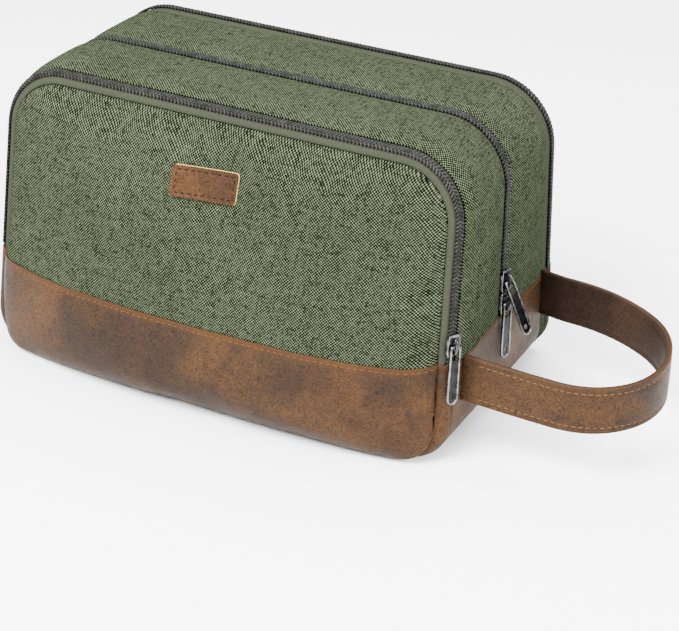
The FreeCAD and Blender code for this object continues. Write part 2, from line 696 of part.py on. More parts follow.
os.makedirs("parts", exist_ok=True)
for node, shape in all_parts().items():
    shape.exportStep(os.path.join("parts", node + ".step"))
    bounds = shape.BoundBox
    print(f"{node:28s} solids {len(shape.Solids)} valid {shape.isValid()} volume {shape.Volume:9.1f} "
          f"x {bounds.XMin:.1f}..{bounds.XMax:.1f} y {bounds.YMin:.1f}..{bounds.YMax:.1f} "
          f"z {bounds.ZMin:.1f}..{bounds.ZMax:.1f}")
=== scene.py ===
"""Looks of a zipped canvas toiletry bag with a leather base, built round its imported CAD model.

Lengths in the shape code are millimetres, in the CAD model's frame: +X to the carrying loop's side,
+Y to the back, +Z up, origin under the middle of the base. make_mesh turns them into metres.

A place on the bag's shell is given by s, the distance round its outline seen from the front,
inset, the depth below that outline, and a depth plane, which gives y from the height z.
"""
import math

import bpy
import numpy as np
from mathutils import Matrix, Vector, noise


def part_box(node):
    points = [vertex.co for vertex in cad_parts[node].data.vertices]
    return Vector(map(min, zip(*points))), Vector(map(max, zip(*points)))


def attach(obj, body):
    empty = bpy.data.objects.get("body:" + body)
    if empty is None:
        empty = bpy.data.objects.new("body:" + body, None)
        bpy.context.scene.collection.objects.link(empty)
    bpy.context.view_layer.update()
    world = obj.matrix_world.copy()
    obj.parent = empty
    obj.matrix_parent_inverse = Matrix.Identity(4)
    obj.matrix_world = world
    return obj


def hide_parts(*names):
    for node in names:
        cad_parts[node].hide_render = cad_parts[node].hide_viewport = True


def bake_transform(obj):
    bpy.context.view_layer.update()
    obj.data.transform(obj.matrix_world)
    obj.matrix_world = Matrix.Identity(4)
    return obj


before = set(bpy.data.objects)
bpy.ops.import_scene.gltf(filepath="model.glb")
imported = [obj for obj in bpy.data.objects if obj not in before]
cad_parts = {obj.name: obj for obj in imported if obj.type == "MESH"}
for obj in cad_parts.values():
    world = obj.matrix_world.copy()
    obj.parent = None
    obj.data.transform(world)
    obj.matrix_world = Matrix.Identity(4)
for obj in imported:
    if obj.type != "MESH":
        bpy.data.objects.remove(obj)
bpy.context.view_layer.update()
MM = 0.001

# Outline of the bag, the same as the CAD model's
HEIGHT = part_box("gusset_front_canvas")[1].z / MM
BASE_WIDTH = 277.4
TOP_WIDTH = 267.0
TOP_RADIUS = 35.0
BASE_RADIUS = 22.0
LEATHER_TOP = 56.5
FOLD_HEIGHT = 80.0
FOLD_REACH = 7.0
FRONT_FOLD_Y = -85.0
REAR_FOLD_Y = 80.7
BASE_DEPTH = 143.0
FRONT = {"y": -BASE_DEPTH / 2, "lean": 18.6}
MIDDLE = {"y": -2.3, "lean": 6.95}
REAR = {"y": BASE_DEPTH / 2 - 1.0, "lean": -4.7}

# Points along the outline's stretches
BASE_STEPS = 44
LEATHER_STEPS = 12
SIDE_STEPS = 26
TOP_STEPS = 76
ARC_STEPS = 16

# Stuffed outer panels: how far they stand out, and how their fullness grows from their edges
FRONT_CROWN = 22.0
REAR_CROWN = 12.0
CROWN_REACH = 110.0
SIDE_FULLNESS = 3.3
EDGE_PUFF = 0.24
EDGE_PUFF_REACH = 2.5
TOP_PUFF = 0.45
TOP_PUFF_REACH = 5.0
TOP_SLOPE_REACH = 112.0
TOP_FULLNESS = 1.6
BOTTOM_PUFF_REACH = 5.5
LEFT_OVERHANG = 4.0
LEFT_LIP_START = 1.2
LEFT_LIP_REACH = 12.0
BASE_DROOP = 10.5
BASE_DROOP_REACH = 10.0
LUMPS = ((55.0, 1.2), (22.0, 0.5))
FRONT_SETTLING = 6.0
REAR_SETTLING = 5.0
SEAM_TUCK = 1.5
FRONT_SEAM_INSET = 7.3
REAR_SEAM_INSET = 3.6

# Rows of a panel's grid below and above the leather's top, and the rows that settle less
LOW_ROWS = 16
LOW_SPACING = 1.6
HIGH_ROWS = 30
HIGH_SPACING = 1.3
CALM_ROWS = 12
CALM_LEAST = 0.1

# Layers behind the panels
INSIDE_CROWN_LOSS = 1.5
LINING_INSET = 1.5
FOAM_DEPTHS = (2.4, 4.4)
LINING_DEPTH = 4.8
HEM_DEPTH = 0.4
DIVIDER_INSET = 4.3
FRONT_DIVIDER_SHIFT = 8.4
REAR_DIVIDER_SHIFT = -12.4

# Gusset and base, between the seams and the zips
GUSSET_FRONT_EDGES = (6.4, -4.2)
GUSSET_FRONT_PUFF = 2.4
GUSSET_REAR_EDGES = (4.2, -11.6)
GUSSET_REAR_PUFF = 2.0
BASE_EDGES = (6.5, -11.9)
BASE_PUFF = 0.6
BASE_FLAT_BELOW = 16.0
LEATHER_LIFT = 0.7
LIFT_START = 25.0
LIFT_REACH = 15.0
LEATHER_STITCH_DROP = 2.2
STITCH_ROW_PART = 0.52
SLIDER_DENT = 1.6
SLIDER_DENT_REACH = 8.0
SLIDER_DENT_DROP = 12.0
SLIDER_DENT_FADE = 6.0
# A dark tube along the base's rear seam: its inset, shift back and radius
DARK_TUBE_INSET = 1.4
DARK_TUBE_SHIFT = 0.6
DARK_TUBE_RADIUS = 1.9

# Materials' thicknesses, and the share of one that a soft edge is rounded by
CANVAS = 1.2
LEATHER = 1.4
SOFT_EDGE = 0.45
LINING = 0.5
DIVIDER = 0.6
TAPE = 0.5

# Zip teeth
PITCH = 2.1
WIRE = 0.46
TOOTH_NEAR = -0.3
TOOTH_FAR = 2.1
TOOTH_RISE = 0.5
TOOTH_SLANT = 0.9
CORD = 0.84
CORD_SHIFT = 0.15

# Label patch
LABEL_SHIFT = np.array([-1.5, 1.3])
LABEL_SCALE = (0.97, 0.94)

# Stitches
STITCH = 2.5
STITCH_GAP = 1.1
THREAD = 0.25
# Along a dash: how far each place is, and its height and girth in thread radii
STITCH_PARTS = np.array([0.0, 0.12, 0.3, 0.5, 0.7, 0.88, 1.0])
STITCH_DEPTHS = np.array([-1.5, -0.1, 0.35, 0.5, 0.35, -0.1, -1.5])
STITCH_GIRTHS = np.array([0.45, 0.85, 1.0, 1.0, 1.0, 0.85, 0.45])

# Carrying loop
STRAP_WIDTH = 26.5
STRAP_HEIGHT = 45.0
STRAP_LAYER = 1.5
STRAP_DIP = 2.0
STRAP_RISE = 4.0
STRAP_HINGE_X = 152.0
STRAP_FRONT_Y = -51.0
STRAP_FRONT_LEG = 38.0
STRAP_ARCS = ((41.0, 90.0), (48.0, 58.0), (140.0, 20.0))
STRAP_SEAM_X = 136.9
STRAP_FRONT_SEAM_Y = -51.0
STRAP_REAR_SEAM_Y = 57.0
STRAP_STITCH_INSET = 3.6
STRAP_BEND_X = (141, 166)


# ---- points and directions ----

def unit(vectors):
    """Vectors, one or in rows, made one unit long."""
    return vectors / np.linalg.norm(vectors, axis=-1, keepdims=True)


def run_along(points):
    """How far along a line each of its points is."""
    return np.concatenate([[0.0], np.cumsum(np.linalg.norm(np.diff(points, axis=0), axis=1))])


def sampled(at, run, rows):
    """Points or directions at distances along a line that is given by rows."""
    return np.stack([np.interp(at, run, rows[:, k]) for k in range(3)], axis=-1)


# ---- the shell's outline ----

def half_width(z):
    return (BASE_WIDTH - (BASE_WIDTH - TOP_WIDTH) * z / HEIGHT) / 2


def on_seam(seam, shift=0.0):
    """The plane of a seam line, moved back by shift: a function from z to y."""
    return lambda z: seam["y"] + seam["lean"] * z / HEIGHT + shift


def between(plane, other, part):
    return lambda z: plane(z) * (1 - part) + other(z) * part


def fillet(before, corner, after, radius, count):
    """Points of the arc that rounds a corner."""
    corner = np.array(corner, float)
    back = unit(np.array(before, float) - corner)
    ahead = unit(np.array(after, float) - corner)
    half_angle = math.acos(np.clip(back @ ahead, -1, 1)) / 2
    centre = corner + unit(back + ahead) * radius / math.sin(half_angle)
    start = corner + back * radius / math.tan(half_angle) - centre
    end = corner + ahead * radius / math.tan(half_angle) - centre
    turn = math.pi - 2 * half_angle
    points = []
    for k in range(count + 1):
        part = k / count
        spoke = start * math.sin(turn * (1 - part)) + end * math.sin(turn * part)
        points.append(centre + spoke / math.sin(turn))
    return points


def corner_arcs(corners, radii, count):
    """The arcs that round a closed outline's corners."""
    arcs = []
    for k, radius in enumerate(radii):
        after = corners[(k + 1) % len(corners)]
        arcs.append(fillet(corners[k - 1], corners[k], after, radius, count))
    return arcs


def stretch(start, end, count):
    """Points along a straight stretch, without its end."""
    start, end = np.array(start, float), np.array(end, float)
    return [start + (end - start) * k / count for k in range(count)]


def outline(inset):
    """The outline at an inset, from the middle of the base towards +X and round, and its marks."""
    low, high = inset, HEIGHT - inset
    corners = [(half_width(low) - inset, low), (half_width(high) - inset, high),
               (inset - half_width(high), high), (inset - half_width(low), low)]
    radii = [BASE_RADIUS, TOP_RADIUS, TOP_RADIUS, BASE_RADIUS]
    arcs = corner_arcs(corners, [radius - inset for radius in radii], ARC_STEPS)
    side = half_width(LEATHER_TOP) - inset
    middle = (0.0, low)
    points = stretch(middle, arcs[0][0], BASE_STEPS) + arcs[0][:-1]
    points += stretch(arcs[0][-1], (side, LEATHER_TOP), LEATHER_STEPS)
    right = len(points)
    points += stretch((side, LEATHER_TOP), arcs[1][0], SIDE_STEPS)
    top_start = len(points)
    points += arcs[1][:-1] + stretch(arcs[1][-1], arcs[2][0], TOP_STEPS) + arcs[2]
    top_end = len(points) - 1
    points += stretch(arcs[2][-1], (-side, LEATHER_TOP), SIDE_STEPS)[1:]
    left = len(points)
    points += stretch((-side, LEATHER_TOP), arcs[3][0], LEATHER_STEPS) + arcs[3][:-1]
    points += stretch(arcs[3][-1], middle, BASE_STEPS) + [np.array(middle)]
    return np.array(points), {"right": right, "top_start": top_start, "top_end": top_end, "left": left}


OUTER, MARKS = outline(0.0)
INWARD = (outline(10.0)[0] - OUTER) / 10.0
ALONG = run_along(OUTER)
RIGHT, LEFT = ALONG[MARKS["right"]], ALONG[MARKS["left"]]
UPPER = ALONG[MARKS["right"]:MARKS["left"] + 1]
LOWER = np.concatenate([ALONG[MARKS["left"]:-1] - ALONG[-1], ALONG[:MARKS["right"] + 1]])


def place(s, inset, plane):
    """Points on the shell. s, inset and the result's rows may be arrays."""
    s = np.mod(s, ALONG[-1] + 1e-9)
    x = np.interp(s, ALONG, OUTER[:, 0]) + inset * np.interp(s, ALONG, INWARD[:, 0])
    z = np.interp(s, ALONG, OUTER[:, 1]) + inset * np.interp(s, ALONG, INWARD[:, 1])
    return np.stack([x, plane(z), z], axis=-1)


# ---- meshes ----

def make_mesh(name, points, faces, weave=None):
    """An object from points in millimetres, with its cloth coordinates kept on it when they are given."""
    mesh = bpy.data.meshes.new(name)
    mesh.from_pydata((np.asarray(points) * MM).tolist(), [], [list(face) for face in faces])
    mesh.update()
    obj = bpy.data.objects.new(name, mesh)
    bpy.context.scene.collection.objects.link(obj)
    if weave is not None:
        values = np.zeros((len(points), 3), np.float32)
        values[:, :2] = np.asarray(weave) * MM
        mesh.attributes.new("weave", "FLOAT_VECTOR", "POINT").data.foreach_set("vector", values.ravel())
    return obj


def grid_faces(rows, columns, closed=False, flip=False):
    faces = []
    last = columns if closed else columns - 1
    for i in range(rows - 1):
        for j in range(last):
            k = (j + 1) % columns
            face = (i * columns + j, i * columns + k, (i + 1) * columns + k, (i + 1) * columns + j)
            faces.append(face[::-1] if flip else face)
    return faces


def vertex_points(mesh):
    """A mesh's vertices as rows, in millimetres."""
    points = np.zeros(len(mesh.vertices) * 3)
    mesh.vertices.foreach_get("co", points)
    return points.reshape(-1, 3) / MM


def move_vertices(mesh, points):
    mesh.vertices.foreach_set("co", (points * MM).ravel())


def shade_smooth(obj):
    obj.data.polygons.foreach_set("use_smooth", [True] * len(obj.data.polygons))
    return obj


def grid_object(name, points, faces):
    """A smooth object from points in millimetres."""
    return shade_smooth(make_mesh(name, points, faces))


def thicken(obj, thickness, rounding=0.35):
    """Gives a sheet its thickness, behind its outer face, with rounded cut edges."""
    solid = obj.modifiers.new("thickness", "SOLIDIFY")
    solid.thickness = thickness * MM
    solid.offset = -1
    edge = obj.modifiers.new("edge", "BEVEL")
    edge.width = thickness * rounding * MM
    edge.segments = 3
    edge.limit_method = "ANGLE"
    edge.angle_limit = math.radians(50)
    graph = bpy.context.evaluated_depsgraph_get()
    mesh = bpy.data.meshes.new_from_object(obj.evaluated_get(graph))
    obj.modifiers.clear()
    obj.data = mesh
    return shade_smooth(obj)


def keep_rest(mesh):
    """Stores where each vertex rests, so that a pattern stays on the cloth when it bends."""
    rest = np.zeros(len(mesh.vertices) * 3, np.float32)
    mesh.vertices.foreach_get("co", rest)
    mesh.attributes.new("rest", "FLOAT_VECTOR", "POINT").data.foreach_set("vector", rest)


def dress(obj, material, replaced=(), body=None, bend=None):
    """Gives a piece its material unless it has one, stores where it rests, hides the CAD nodes that it
    stands for, and hangs it from its body's empty; a piece given a bend only has its place baked into its
    points.
    """
    if not obj.data.materials:
        obj.data.materials.append(material)
    keep_rest(obj.data)
    if replaced:
        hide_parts(*replaced)
    if bend:
        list(bend)
        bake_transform(obj)
    else:
        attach(obj, body)
    return obj


def fold(flap, y):
    """How a piece bends across an outer panel's fold line."""
    low = (0, y * MM, (FOLD_HEIGHT - FOLD_REACH) * MM)
    high = (0, y * MM, (FOLD_HEIGHT + FOLD_REACH) * MM)
    return ("bag", flap, low, high)


FRONT_FOLD = fold("front_flap", FRONT_FOLD_Y)
REAR_FOLD = fold("rear_flap", REAR_FOLD_Y)


def wander(points, size, amount, seed):
    """A smooth random height for each point, up to about amount, with lumps about size across."""
    shift = Vector((seed * 7.31, seed * 3.17, seed * 1.73))
    heights = [noise.noise(Vector(point) / size + shift) for point in points.reshape(-1, 3)]
    return np.array(heights).reshape(points.shape[:-1]) * amount


def band(name, stations, line, flip=False):
    """A strip round the bag. line is a list of (inset, plane) from its front edge to its back edge."""
    rows = []
    lengths = [0.0]
    for inset, plane in line:
        rows.append(place(stations, inset, plane))
        if len(rows) > 1:
            lengths.append(lengths[-1] + float(np.linalg.norm(rows[-1] - rows[-2], axis=1).mean()))
    points = np.array(rows)
    weave = np.stack(np.broadcast_arrays(stations[None, :], np.array(lengths)[:, None]), axis=-1)
    faces = grid_faces(len(line), len(stations), flip=not flip)
    return make_mesh(name, points.reshape(-1, 3), faces, weave.reshape(-1, 2))


def smooth_line(points, count):
    """A rounded line through (inset, shift) corners, resampled evenly."""
    points = np.array(points, float)
    for _ in range(2):
        cut = [points[0]]
        for a, b in zip(points, points[1:]):
            cut += [a * 0.75 + b * 0.25, a * 0.25 + b * 0.75]
        points = np.array(cut + [points[-1]])
    run = run_along(points)
    at = np.linspace(0, run[-1], count)
    return [(np.interp(t, run, points[:, 0]), np.interp(t, run, points[:, 1])) for t in at]


def section_line(seam, corners, count):
    """A band's (inset, plane) line, rounded through (inset, shift) corners beside a seam."""
    return [(inset, on_seam(seam, shift)) for inset, shift in smooth_line(corners, count)]


def tube_mesh(centres, across, radius, sides=6, flatness=1.0):
    """A round tube along centres. across is a direction for each centre that isn't along the tube."""
    along = unit(np.gradient(centres, axis=0))
    first = unit(across - along * (across * along).sum(1)[:, None])
    second = np.cross(along, first)
    turns = np.arange(sides) * 2 * math.pi / sides
    rings = centres[:, None] + radius * (np.cos(turns)[None, :, None] * first[:, None]
                                         + flatness * np.sin(turns)[None, :, None] * second[:, None])
    faces = grid_faces(len(centres), sides, closed=True)
    faces.append(tuple(range(sides))[::-1])
    faces.append(tuple(range((len(centres) - 1) * sides, len(centres) * sides)))
    return rings.reshape(-1, 3), faces


def tube(name, centres, across, radius, sides=6):
    """A piece that is one round tube."""
    return grid_object(name, *tube_mesh(centres, across, radius, sides))


def stitches(name, route, normals, sink=0.05):
    """A line of sewing thread on a surface: a dash, then a gap where the thread is under it."""
    run = run_along(route)
    count = max(1, int(run[-1] / (STITCH + STITCH_GAP)))
    step = run[-1] / count
    points, faces = [], []
    for k in range(count):
        at = (k + 0.5) * step + (STITCH_PARTS - 0.5) * STITCH
        normal = unit(sampled(at, run, normals))
        centre = sampled(at, run, route) + normal * (STITCH_DEPTHS * THREAD - sink)[:, None]
        side = np.cross(np.gradient(centre, axis=0), normal)
        dash_points, dash_faces = tube_mesh(centre, side, STITCH_GIRTHS[:, None, None] * THREAD)
        faces += [tuple(len(points) + v for v in face) for face in dash_faces]
        points += dash_points.tolist()
    return grid_object(name, points, faces)


# ---- materials ----

def new_material(name):
    material = bpy.data.materials.new(name)
    material.use_nodes = True
    tree = material.node_tree
    shader = tree.nodes["Principled BSDF"]
    return material, tree, shader


def node(tree, kind, settings=None, **inputs):
    """A node with its settings, and inputs that are values or other nodes' outputs."""
    made = tree.nodes.new(kind)
    for key, value in (settings or {}).items():
        setattr(made, key, value)
    for key, value in inputs.items():
        socket = made.inputs[int(key[1:])] if key[0] == "i" and key[1:].isdigit() else made.inputs[key]
        if isinstance(value, bpy.types.NodeSocket):
            tree.links.new(value, socket)
        else:
            socket.default_value = value
    return made


def math_node(tree, operation, *values):
    inputs = {f"i{k}": value for k, value in enumerate(values)}
    return node(tree, "ShaderNodeMath", {"operation": operation}, **inputs).outputs[0]


def mix_colour(tree, factor, first, second, blend_type="MIX"):
    made = node(tree, "ShaderNodeMix", {"data_type": "RGBA", "blend_type": blend_type})
    for socket, value in ((made.inputs[0], factor), (made.inputs[6], first), (made.inputs[7], second)):
        if isinstance(value, bpy.types.NodeSocket):
            tree.links.new(value, socket)
        else:
            socket.default_value = value
    return made.outputs[2]


def shaded(tree, colour, shade):
    """A colour made darker or lighter by a number."""
    tone = node(tree, "ShaderNodeCombineXYZ", X=shade, Y=shade, Z=shade).outputs[0]
    return mix_colour(tree, 1.0, colour, tone, "MULTIPLY")


def surface(tree, shader, colour, rough, gloss):
    """Sets a surface's colour, roughness and gloss."""
    tree.links.new(colour, shader.inputs["Base Color"])
    if isinstance(rough, bpy.types.NodeSocket):
        tree.links.new(rough, shader.inputs["Roughness"])
    else:
        shader.inputs["Roughness"].default_value = rough
    shader.inputs["Specular IOR Level"].default_value = gloss


def ramp(tree, value, stops):
    """Turns a value into colours. stops are (place, colour)."""
    made = node(tree, "ShaderNodeValToRGB", Fac=value)
    elements = made.color_ramp.elements
    while len(elements) < len(stops):
        elements.new(0.5)
    for element, (where, colour) in zip(elements, stops):
        element.position = where
        element.color = colour
    return made.outputs[0]


def bump(tree, shader, height, distance, strength=1.0, before=None):
    made = node(tree, "ShaderNodeBump", Height=height, Distance=distance * MM, Strength=strength)
    if before is not None:
        tree.links.new(before, made.inputs["Normal"])
    tree.links.new(made.outputs[0], shader.inputs["Normal"])
    return made.outputs[0]


def attribute(tree, name):
    return node(tree, "ShaderNodeAttribute", {"attribute_name": name}).outputs["Vector"]


def noise_at(tree, vector, per_metre, detail=3.0, roughness=0.5, distortion=0.0):
    made = node(tree, "ShaderNodeTexNoise", Vector=vector, Scale=per_metre, Detail=detail)
    made.inputs["Roughness"].default_value = roughness
    made.inputs["Distortion"].default_value = distortion
    return made.outputs[0]


def stretched_noise(tree, vector, stretch):
    """Noise drawn out along the directions in which stretch is small."""
    scaled = node(tree, "ShaderNodeVectorMath", {"operation": "MULTIPLY"}, i0=vector, i1=stretch).outputs[0]
    return noise_at(tree, scaled, 1.0, 2.0)


def grey(value):
    return (value, value, value, 1.0)


def woven(name, dark, middle, light, pitch, relief, cloud=0.25):
    """A plain weave: each thread shows as a bump where it passes over, in a chequered order. Its colour
    follows that bump: painted highlight on the crests and painted shade in the gaps, mixed with each
    thread's own tone.
    """
    material, tree, shader = new_material(name)
    weave = attribute(tree, "weave")
    rest = attribute(tree, "rest")
    wobble = node(tree, "ShaderNodeTexNoise", Vector=rest, Scale=160.0, Detail=2.0)
    drift = node(tree, "ShaderNodeVectorMath", {"operation": "MULTIPLY_ADD"}, i0=wobble.outputs["Color"],
                 i1=(0.5 * pitch * MM,) * 3, i2=weave).outputs[0]
    split = node(tree, "ShaderNodeSeparateXYZ", Vector=drift)
    waves = []
    for k in range(2):
        turns = math_node(tree, "MULTIPLY", split.outputs[k], math.pi / (pitch * MM))
        waves.append(math_node(tree, "SINE", turns))
    product = math_node(tree, "MULTIPLY", waves[0], waves[1])
    height = math_node(tree, "MULTIPLY_ADD", product, 0.5, 0.5)
    counted = node(tree, "ShaderNodeVectorMath", {"operation": "SCALE"}, i0=drift, Scale=1 / (pitch * MM))
    crossing = node(tree, "ShaderNodeVectorMath", {"operation": "FLOOR"}, i0=counted.outputs[0]).outputs[0]
    fibre = node(tree, "ShaderNodeTexWhiteNoise", Vector=crossing).outputs["Value"]
    across_slub = stretched_noise(tree, counted.outputs[0], (0.9, 0.09, 1.0))
    along_slub = stretched_noise(tree, counted.outputs[0], (0.09, 0.9, 1.0))
    slub = math_node(tree, "ADD", across_slub, along_slub)
    slub = math_node(tree, "MULTIPLY_ADD", slub, 0.75, math_node(tree, "MULTIPLY", fibre, 0.6))
    crest = math_node(tree, "POWER", height, 1.25)
    lifted = math_node(tree, "MULTIPLY", crest, math_node(tree, "ADD", slub, 0.08))
    # Colour from the threads' height: painted highlight on the crests and painted shade in the gaps between
    # threads; slub and fibre add each thread's own tone.
    colour = ramp(tree, lifted, [(0.08, dark), (0.42, middle), (0.85, light)])
    clouds = noise_at(tree, rest, 14.0, 3.0, 0.6)
    shade = math_node(tree, "MULTIPLY_ADD", clouds, cloud * 2, 1.0 - cloud)
    surface(tree, shader, shaded(tree, colour, shade), 1.0, 0.0)
    bump(tree, shader, lifted, relief)
    return material


def make_leather(name, dark, middle, tan):
    """Waxed leather: cloudy patches where the wax has moved, a fine grain, and small creases."""
    material, tree, shader = new_material(name)
    rest = attribute(tree, "rest")
    patches = noise_at(tree, rest, 17.0, 4.0, 0.55, 0.9)
    mottle = noise_at(tree, rest, 120.0, 3.0, 0.6, 0.4)
    mixed = math_node(tree, "MULTIPLY_ADD", mottle, 0.30, math_node(tree, "MULTIPLY", patches, 0.85))
    colour = ramp(tree, mixed, [(0.34, dark), (0.52, middle), (0.74, tan)])
    cells = node(tree, "ShaderNodeTexVoronoi", {"feature": "DISTANCE_TO_EDGE"}, Vector=rest, Scale=620.0)
    pores = math_node(tree, "MINIMUM", cells.outputs["Distance"], 0.22)
    fine = noise_at(tree, rest, 1500.0, 3.0, 0.6)
    height = math_node(tree, "MULTIPLY_ADD", fine, 0.25, math_node(tree, "MULTIPLY", pores, 3.2))
    crackle = noise_at(tree, rest, 430.0, 4.0, 0.65, 1.6)
    ridge = math_node(tree, "ABSOLUTE", math_node(tree, "SUBTRACT", crackle, 0.5))
    off_ridge = math_node(tree, "MINIMUM", math_node(tree, "MULTIPLY", ridge, 11.0), 1.0)
    vein = math_node(tree, "SUBTRACT", 1.0, off_ridge)
    shade = math_node(tree, "MULTIPLY_ADD", vein, 1.0, 0.68)
    colour = shaded(tree, colour, shade)
    worn = node(tree, "ShaderNodeAttribute", {"attribute_name": "worn"}).outputs["Fac"]
    edge_tone = (min(tan[0] * 1.25, 1), min(tan[1] * 1.15, 1), tan[2] * 1.05, 1)
    colour = mix_colour(tree, math_node(tree, "MULTIPLY", worn, 0.75), colour, edge_tone)
    surface(tree, shader, colour, math_node(tree, "MULTIPLY_ADD", mottle, 0.3, 0.37), 0.05)
    creases = noise_at(tree, rest, 60.0, 2.0, 0.5, 1.5)
    first = bump(tree, shader, creases, 0.5, 0.35)
    bump(tree, shader, height, 0.12, 1.0, first)
    return material


def make_thread(name, colour):
    """Twisted sewing thread."""
    material, tree, shader = new_material(name)
    rest = attribute(tree, "rest")
    fibre = noise_at(tree, rest, 2600.0, 2.0)
    tint = mix_colour(tree, fibre, tuple(c * 0.6 for c in colour[:3]) + (1,), colour)
    surface(tree, shader, tint, 0.8, 0.05)
    bump(tree, shader, fibre, 0.08)
    return material


def make_nylon(name, dark, light):
    """Moulded nylon wire of a zip coil, a little worn in random patches."""
    material, tree, shader = new_material(name)
    rest = attribute(tree, "rest")
    rub = noise_at(tree, rest, 240.0, 3.0)
    colour = ramp(tree, rub, [(0.35, dark), (0.65, light)])
    surface(tree, shader, colour, 0.5, 0.09)
    bump(tree, shader, noise_at(tree, rest, 1800.0, 2.0), 0.04)
    return material


def make_metal(name, dark, light):
    """Plated zinc with smears and fine scratches."""
    material, tree, shader = new_material(name)
    where = attribute(tree, "rest")
    smear = noise_at(tree, where, 320.0, 4.0, 0.6)
    colour = ramp(tree, smear, [(0.3, grey(dark)), (0.7, grey(light))])
    shader.inputs["Metallic"].default_value = 1.0
    surface(tree, shader, colour, math_node(tree, "MULTIPLY_ADD", smear, 0.25, 0.16), 0.5)
    scratch = noise_at(tree, where, 1400.0, 2.0)
    bump(tree, shader, scratch, 0.03)
    return material


def make_plain_cloth(name, dark, light, per_metre, rough=0.8):
    """Smooth lining cloth or foam, with a faint even texture."""
    material, tree, shader = new_material(name)
    where = node(tree, "ShaderNodeTexCoord").outputs["Object"]
    fine = noise_at(tree, where, per_metre, 3.0)
    colour = ramp(tree, fine, [(0.3, dark), (0.7, light)])
    surface(tree, shader, colour, rough, 0.05)
    bump(tree, shader, fine, 0.2)
    return material


# In each woven look below, the light colour sits on the thread crests as painted highlight and the dark
# colour in the gaps as painted shade, mixed with each thread's own tone.
CANVAS_LOOK = woven("canvas", (0.0009, 0.0015, 0.0006, 1), (0.0026, 0.0042, 0.0019, 1),
                    (0.066, 0.080, 0.048, 1), pitch=0.82, relief=0.40)
TAPE_LOOK = woven("zip_tape", (0.0115, 0.0128, 0.0085, 1), (0.022, 0.0236, 0.0162, 1),
                  (0.033, 0.0355, 0.025, 1), pitch=0.32, relief=0.08, cloud=0.12)
LINING_LOOK = woven("lining", (0.012, 0.011, 0.010, 1), (0.030, 0.027, 0.025, 1),
                    (0.055, 0.050, 0.046, 1), pitch=0.4, relief=0.1, cloud=0.1)
LEATHER_LOOK = make_leather("leather", (0.0085, 0.0052, 0.0039, 1), (0.0140, 0.0078, 0.0045, 1),
                            (0.0290, 0.0138, 0.0052, 1))
STRAP_BACK_LOOK = make_leather("strap_back_leather", (0.0072, 0.0046, 0.0036, 1),
                               (0.0118, 0.0070, 0.0049, 1), (0.0175, 0.0098, 0.0064, 1))
LABEL_LOOK = make_leather("label_leather", (0.0125, 0.0056, 0.0028, 1), (0.0190, 0.0086, 0.0038, 1),
                          (0.030, 0.0132, 0.0052, 1))
CUT_EDGE_LOOK = make_plain_cloth("cut_edge", (0.40, 0.24, 0.065, 1), (0.75, 0.50, 0.17, 1),
                                 per_metre=900.0, rough=0.7)
TAN_THREAD = make_thread("tan_thread", (0.085, 0.038, 0.013, 1))
PALE_THREAD = make_thread("pale_thread", (0.105, 0.055, 0.025, 1))
DARK_THREAD = make_thread("dark_thread", (0.008, 0.0035, 0.002, 1))
NYLON_LOOK = make_nylon("nylon", (0.006, 0.006, 0.005, 1), (0.020, 0.020, 0.017, 1))
# The cord is a real part of the coil, but its near-black colour is painted shade, so the gaps between the
# wire's turns read dark.
CORD_SHADE_LOOK = make_nylon("zip_cord_painted_shade", (0.0008, 0.0008, 0.0007, 1), (0.0016, 0.0016, 0.0014, 1))
GUNMETAL_LOOK = make_metal("gunmetal", 0.015, 0.045)
DARK_METAL_LOOK = make_metal("dark_metal", 0.006, 0.02)
BRIGHT_METAL_LOOK = make_metal("bright_metal", 0.04, 0.17)
FOAM_LOOK = make_plain_cloth("foam", (0.55, 0.54, 0.50, 1), (0.70, 0.69, 0.65, 1),
                             per_metre=1200.0, rough=0.95)
DARK_EDGE_LOOK = make_plain_cloth("dark_edge", (0.008, 0.009, 0.007, 1), (0.03, 0.032, 0.026, 1),
                                  per_metre=1500.0, rough=0.85)
INNER_LINING_LOOK = make_plain_cloth("inner_lining", (0.014, 0.013, 0.012, 1), (0.04, 0.036, 0.033, 1),
                                     per_metre=1400.0)


# ---- stuffed outer panels ----

def side_profile(distance):
    """How full a panel is at a distance from its side seams: a quick puff, then a slow rise."""
    slow = 1 - (1 - np.clip(distance / CROWN_REACH, 0, 1)) ** SIDE_FULLNESS
    return EDGE_PUFF * (1 - np.exp(-distance / EDGE_PUFF_REACH)) + (1 - EDGE_PUFF) * slow


def height_profile(from_top, from_base):
    """How full a panel is over its height: it sags, so it is fullest near the base."""
    slow = 1 - (1 - np.clip(from_top / TOP_SLOPE_REACH, 0, 1)) ** TOP_FULLNESS
    top = TOP_PUFF * (1 - np.exp(-from_top / TOP_PUFF_REACH)) + (1 - TOP_PUFF) * slow
    return top * (1 - np.exp(-from_base / BOTTOM_PUFF_REACH))


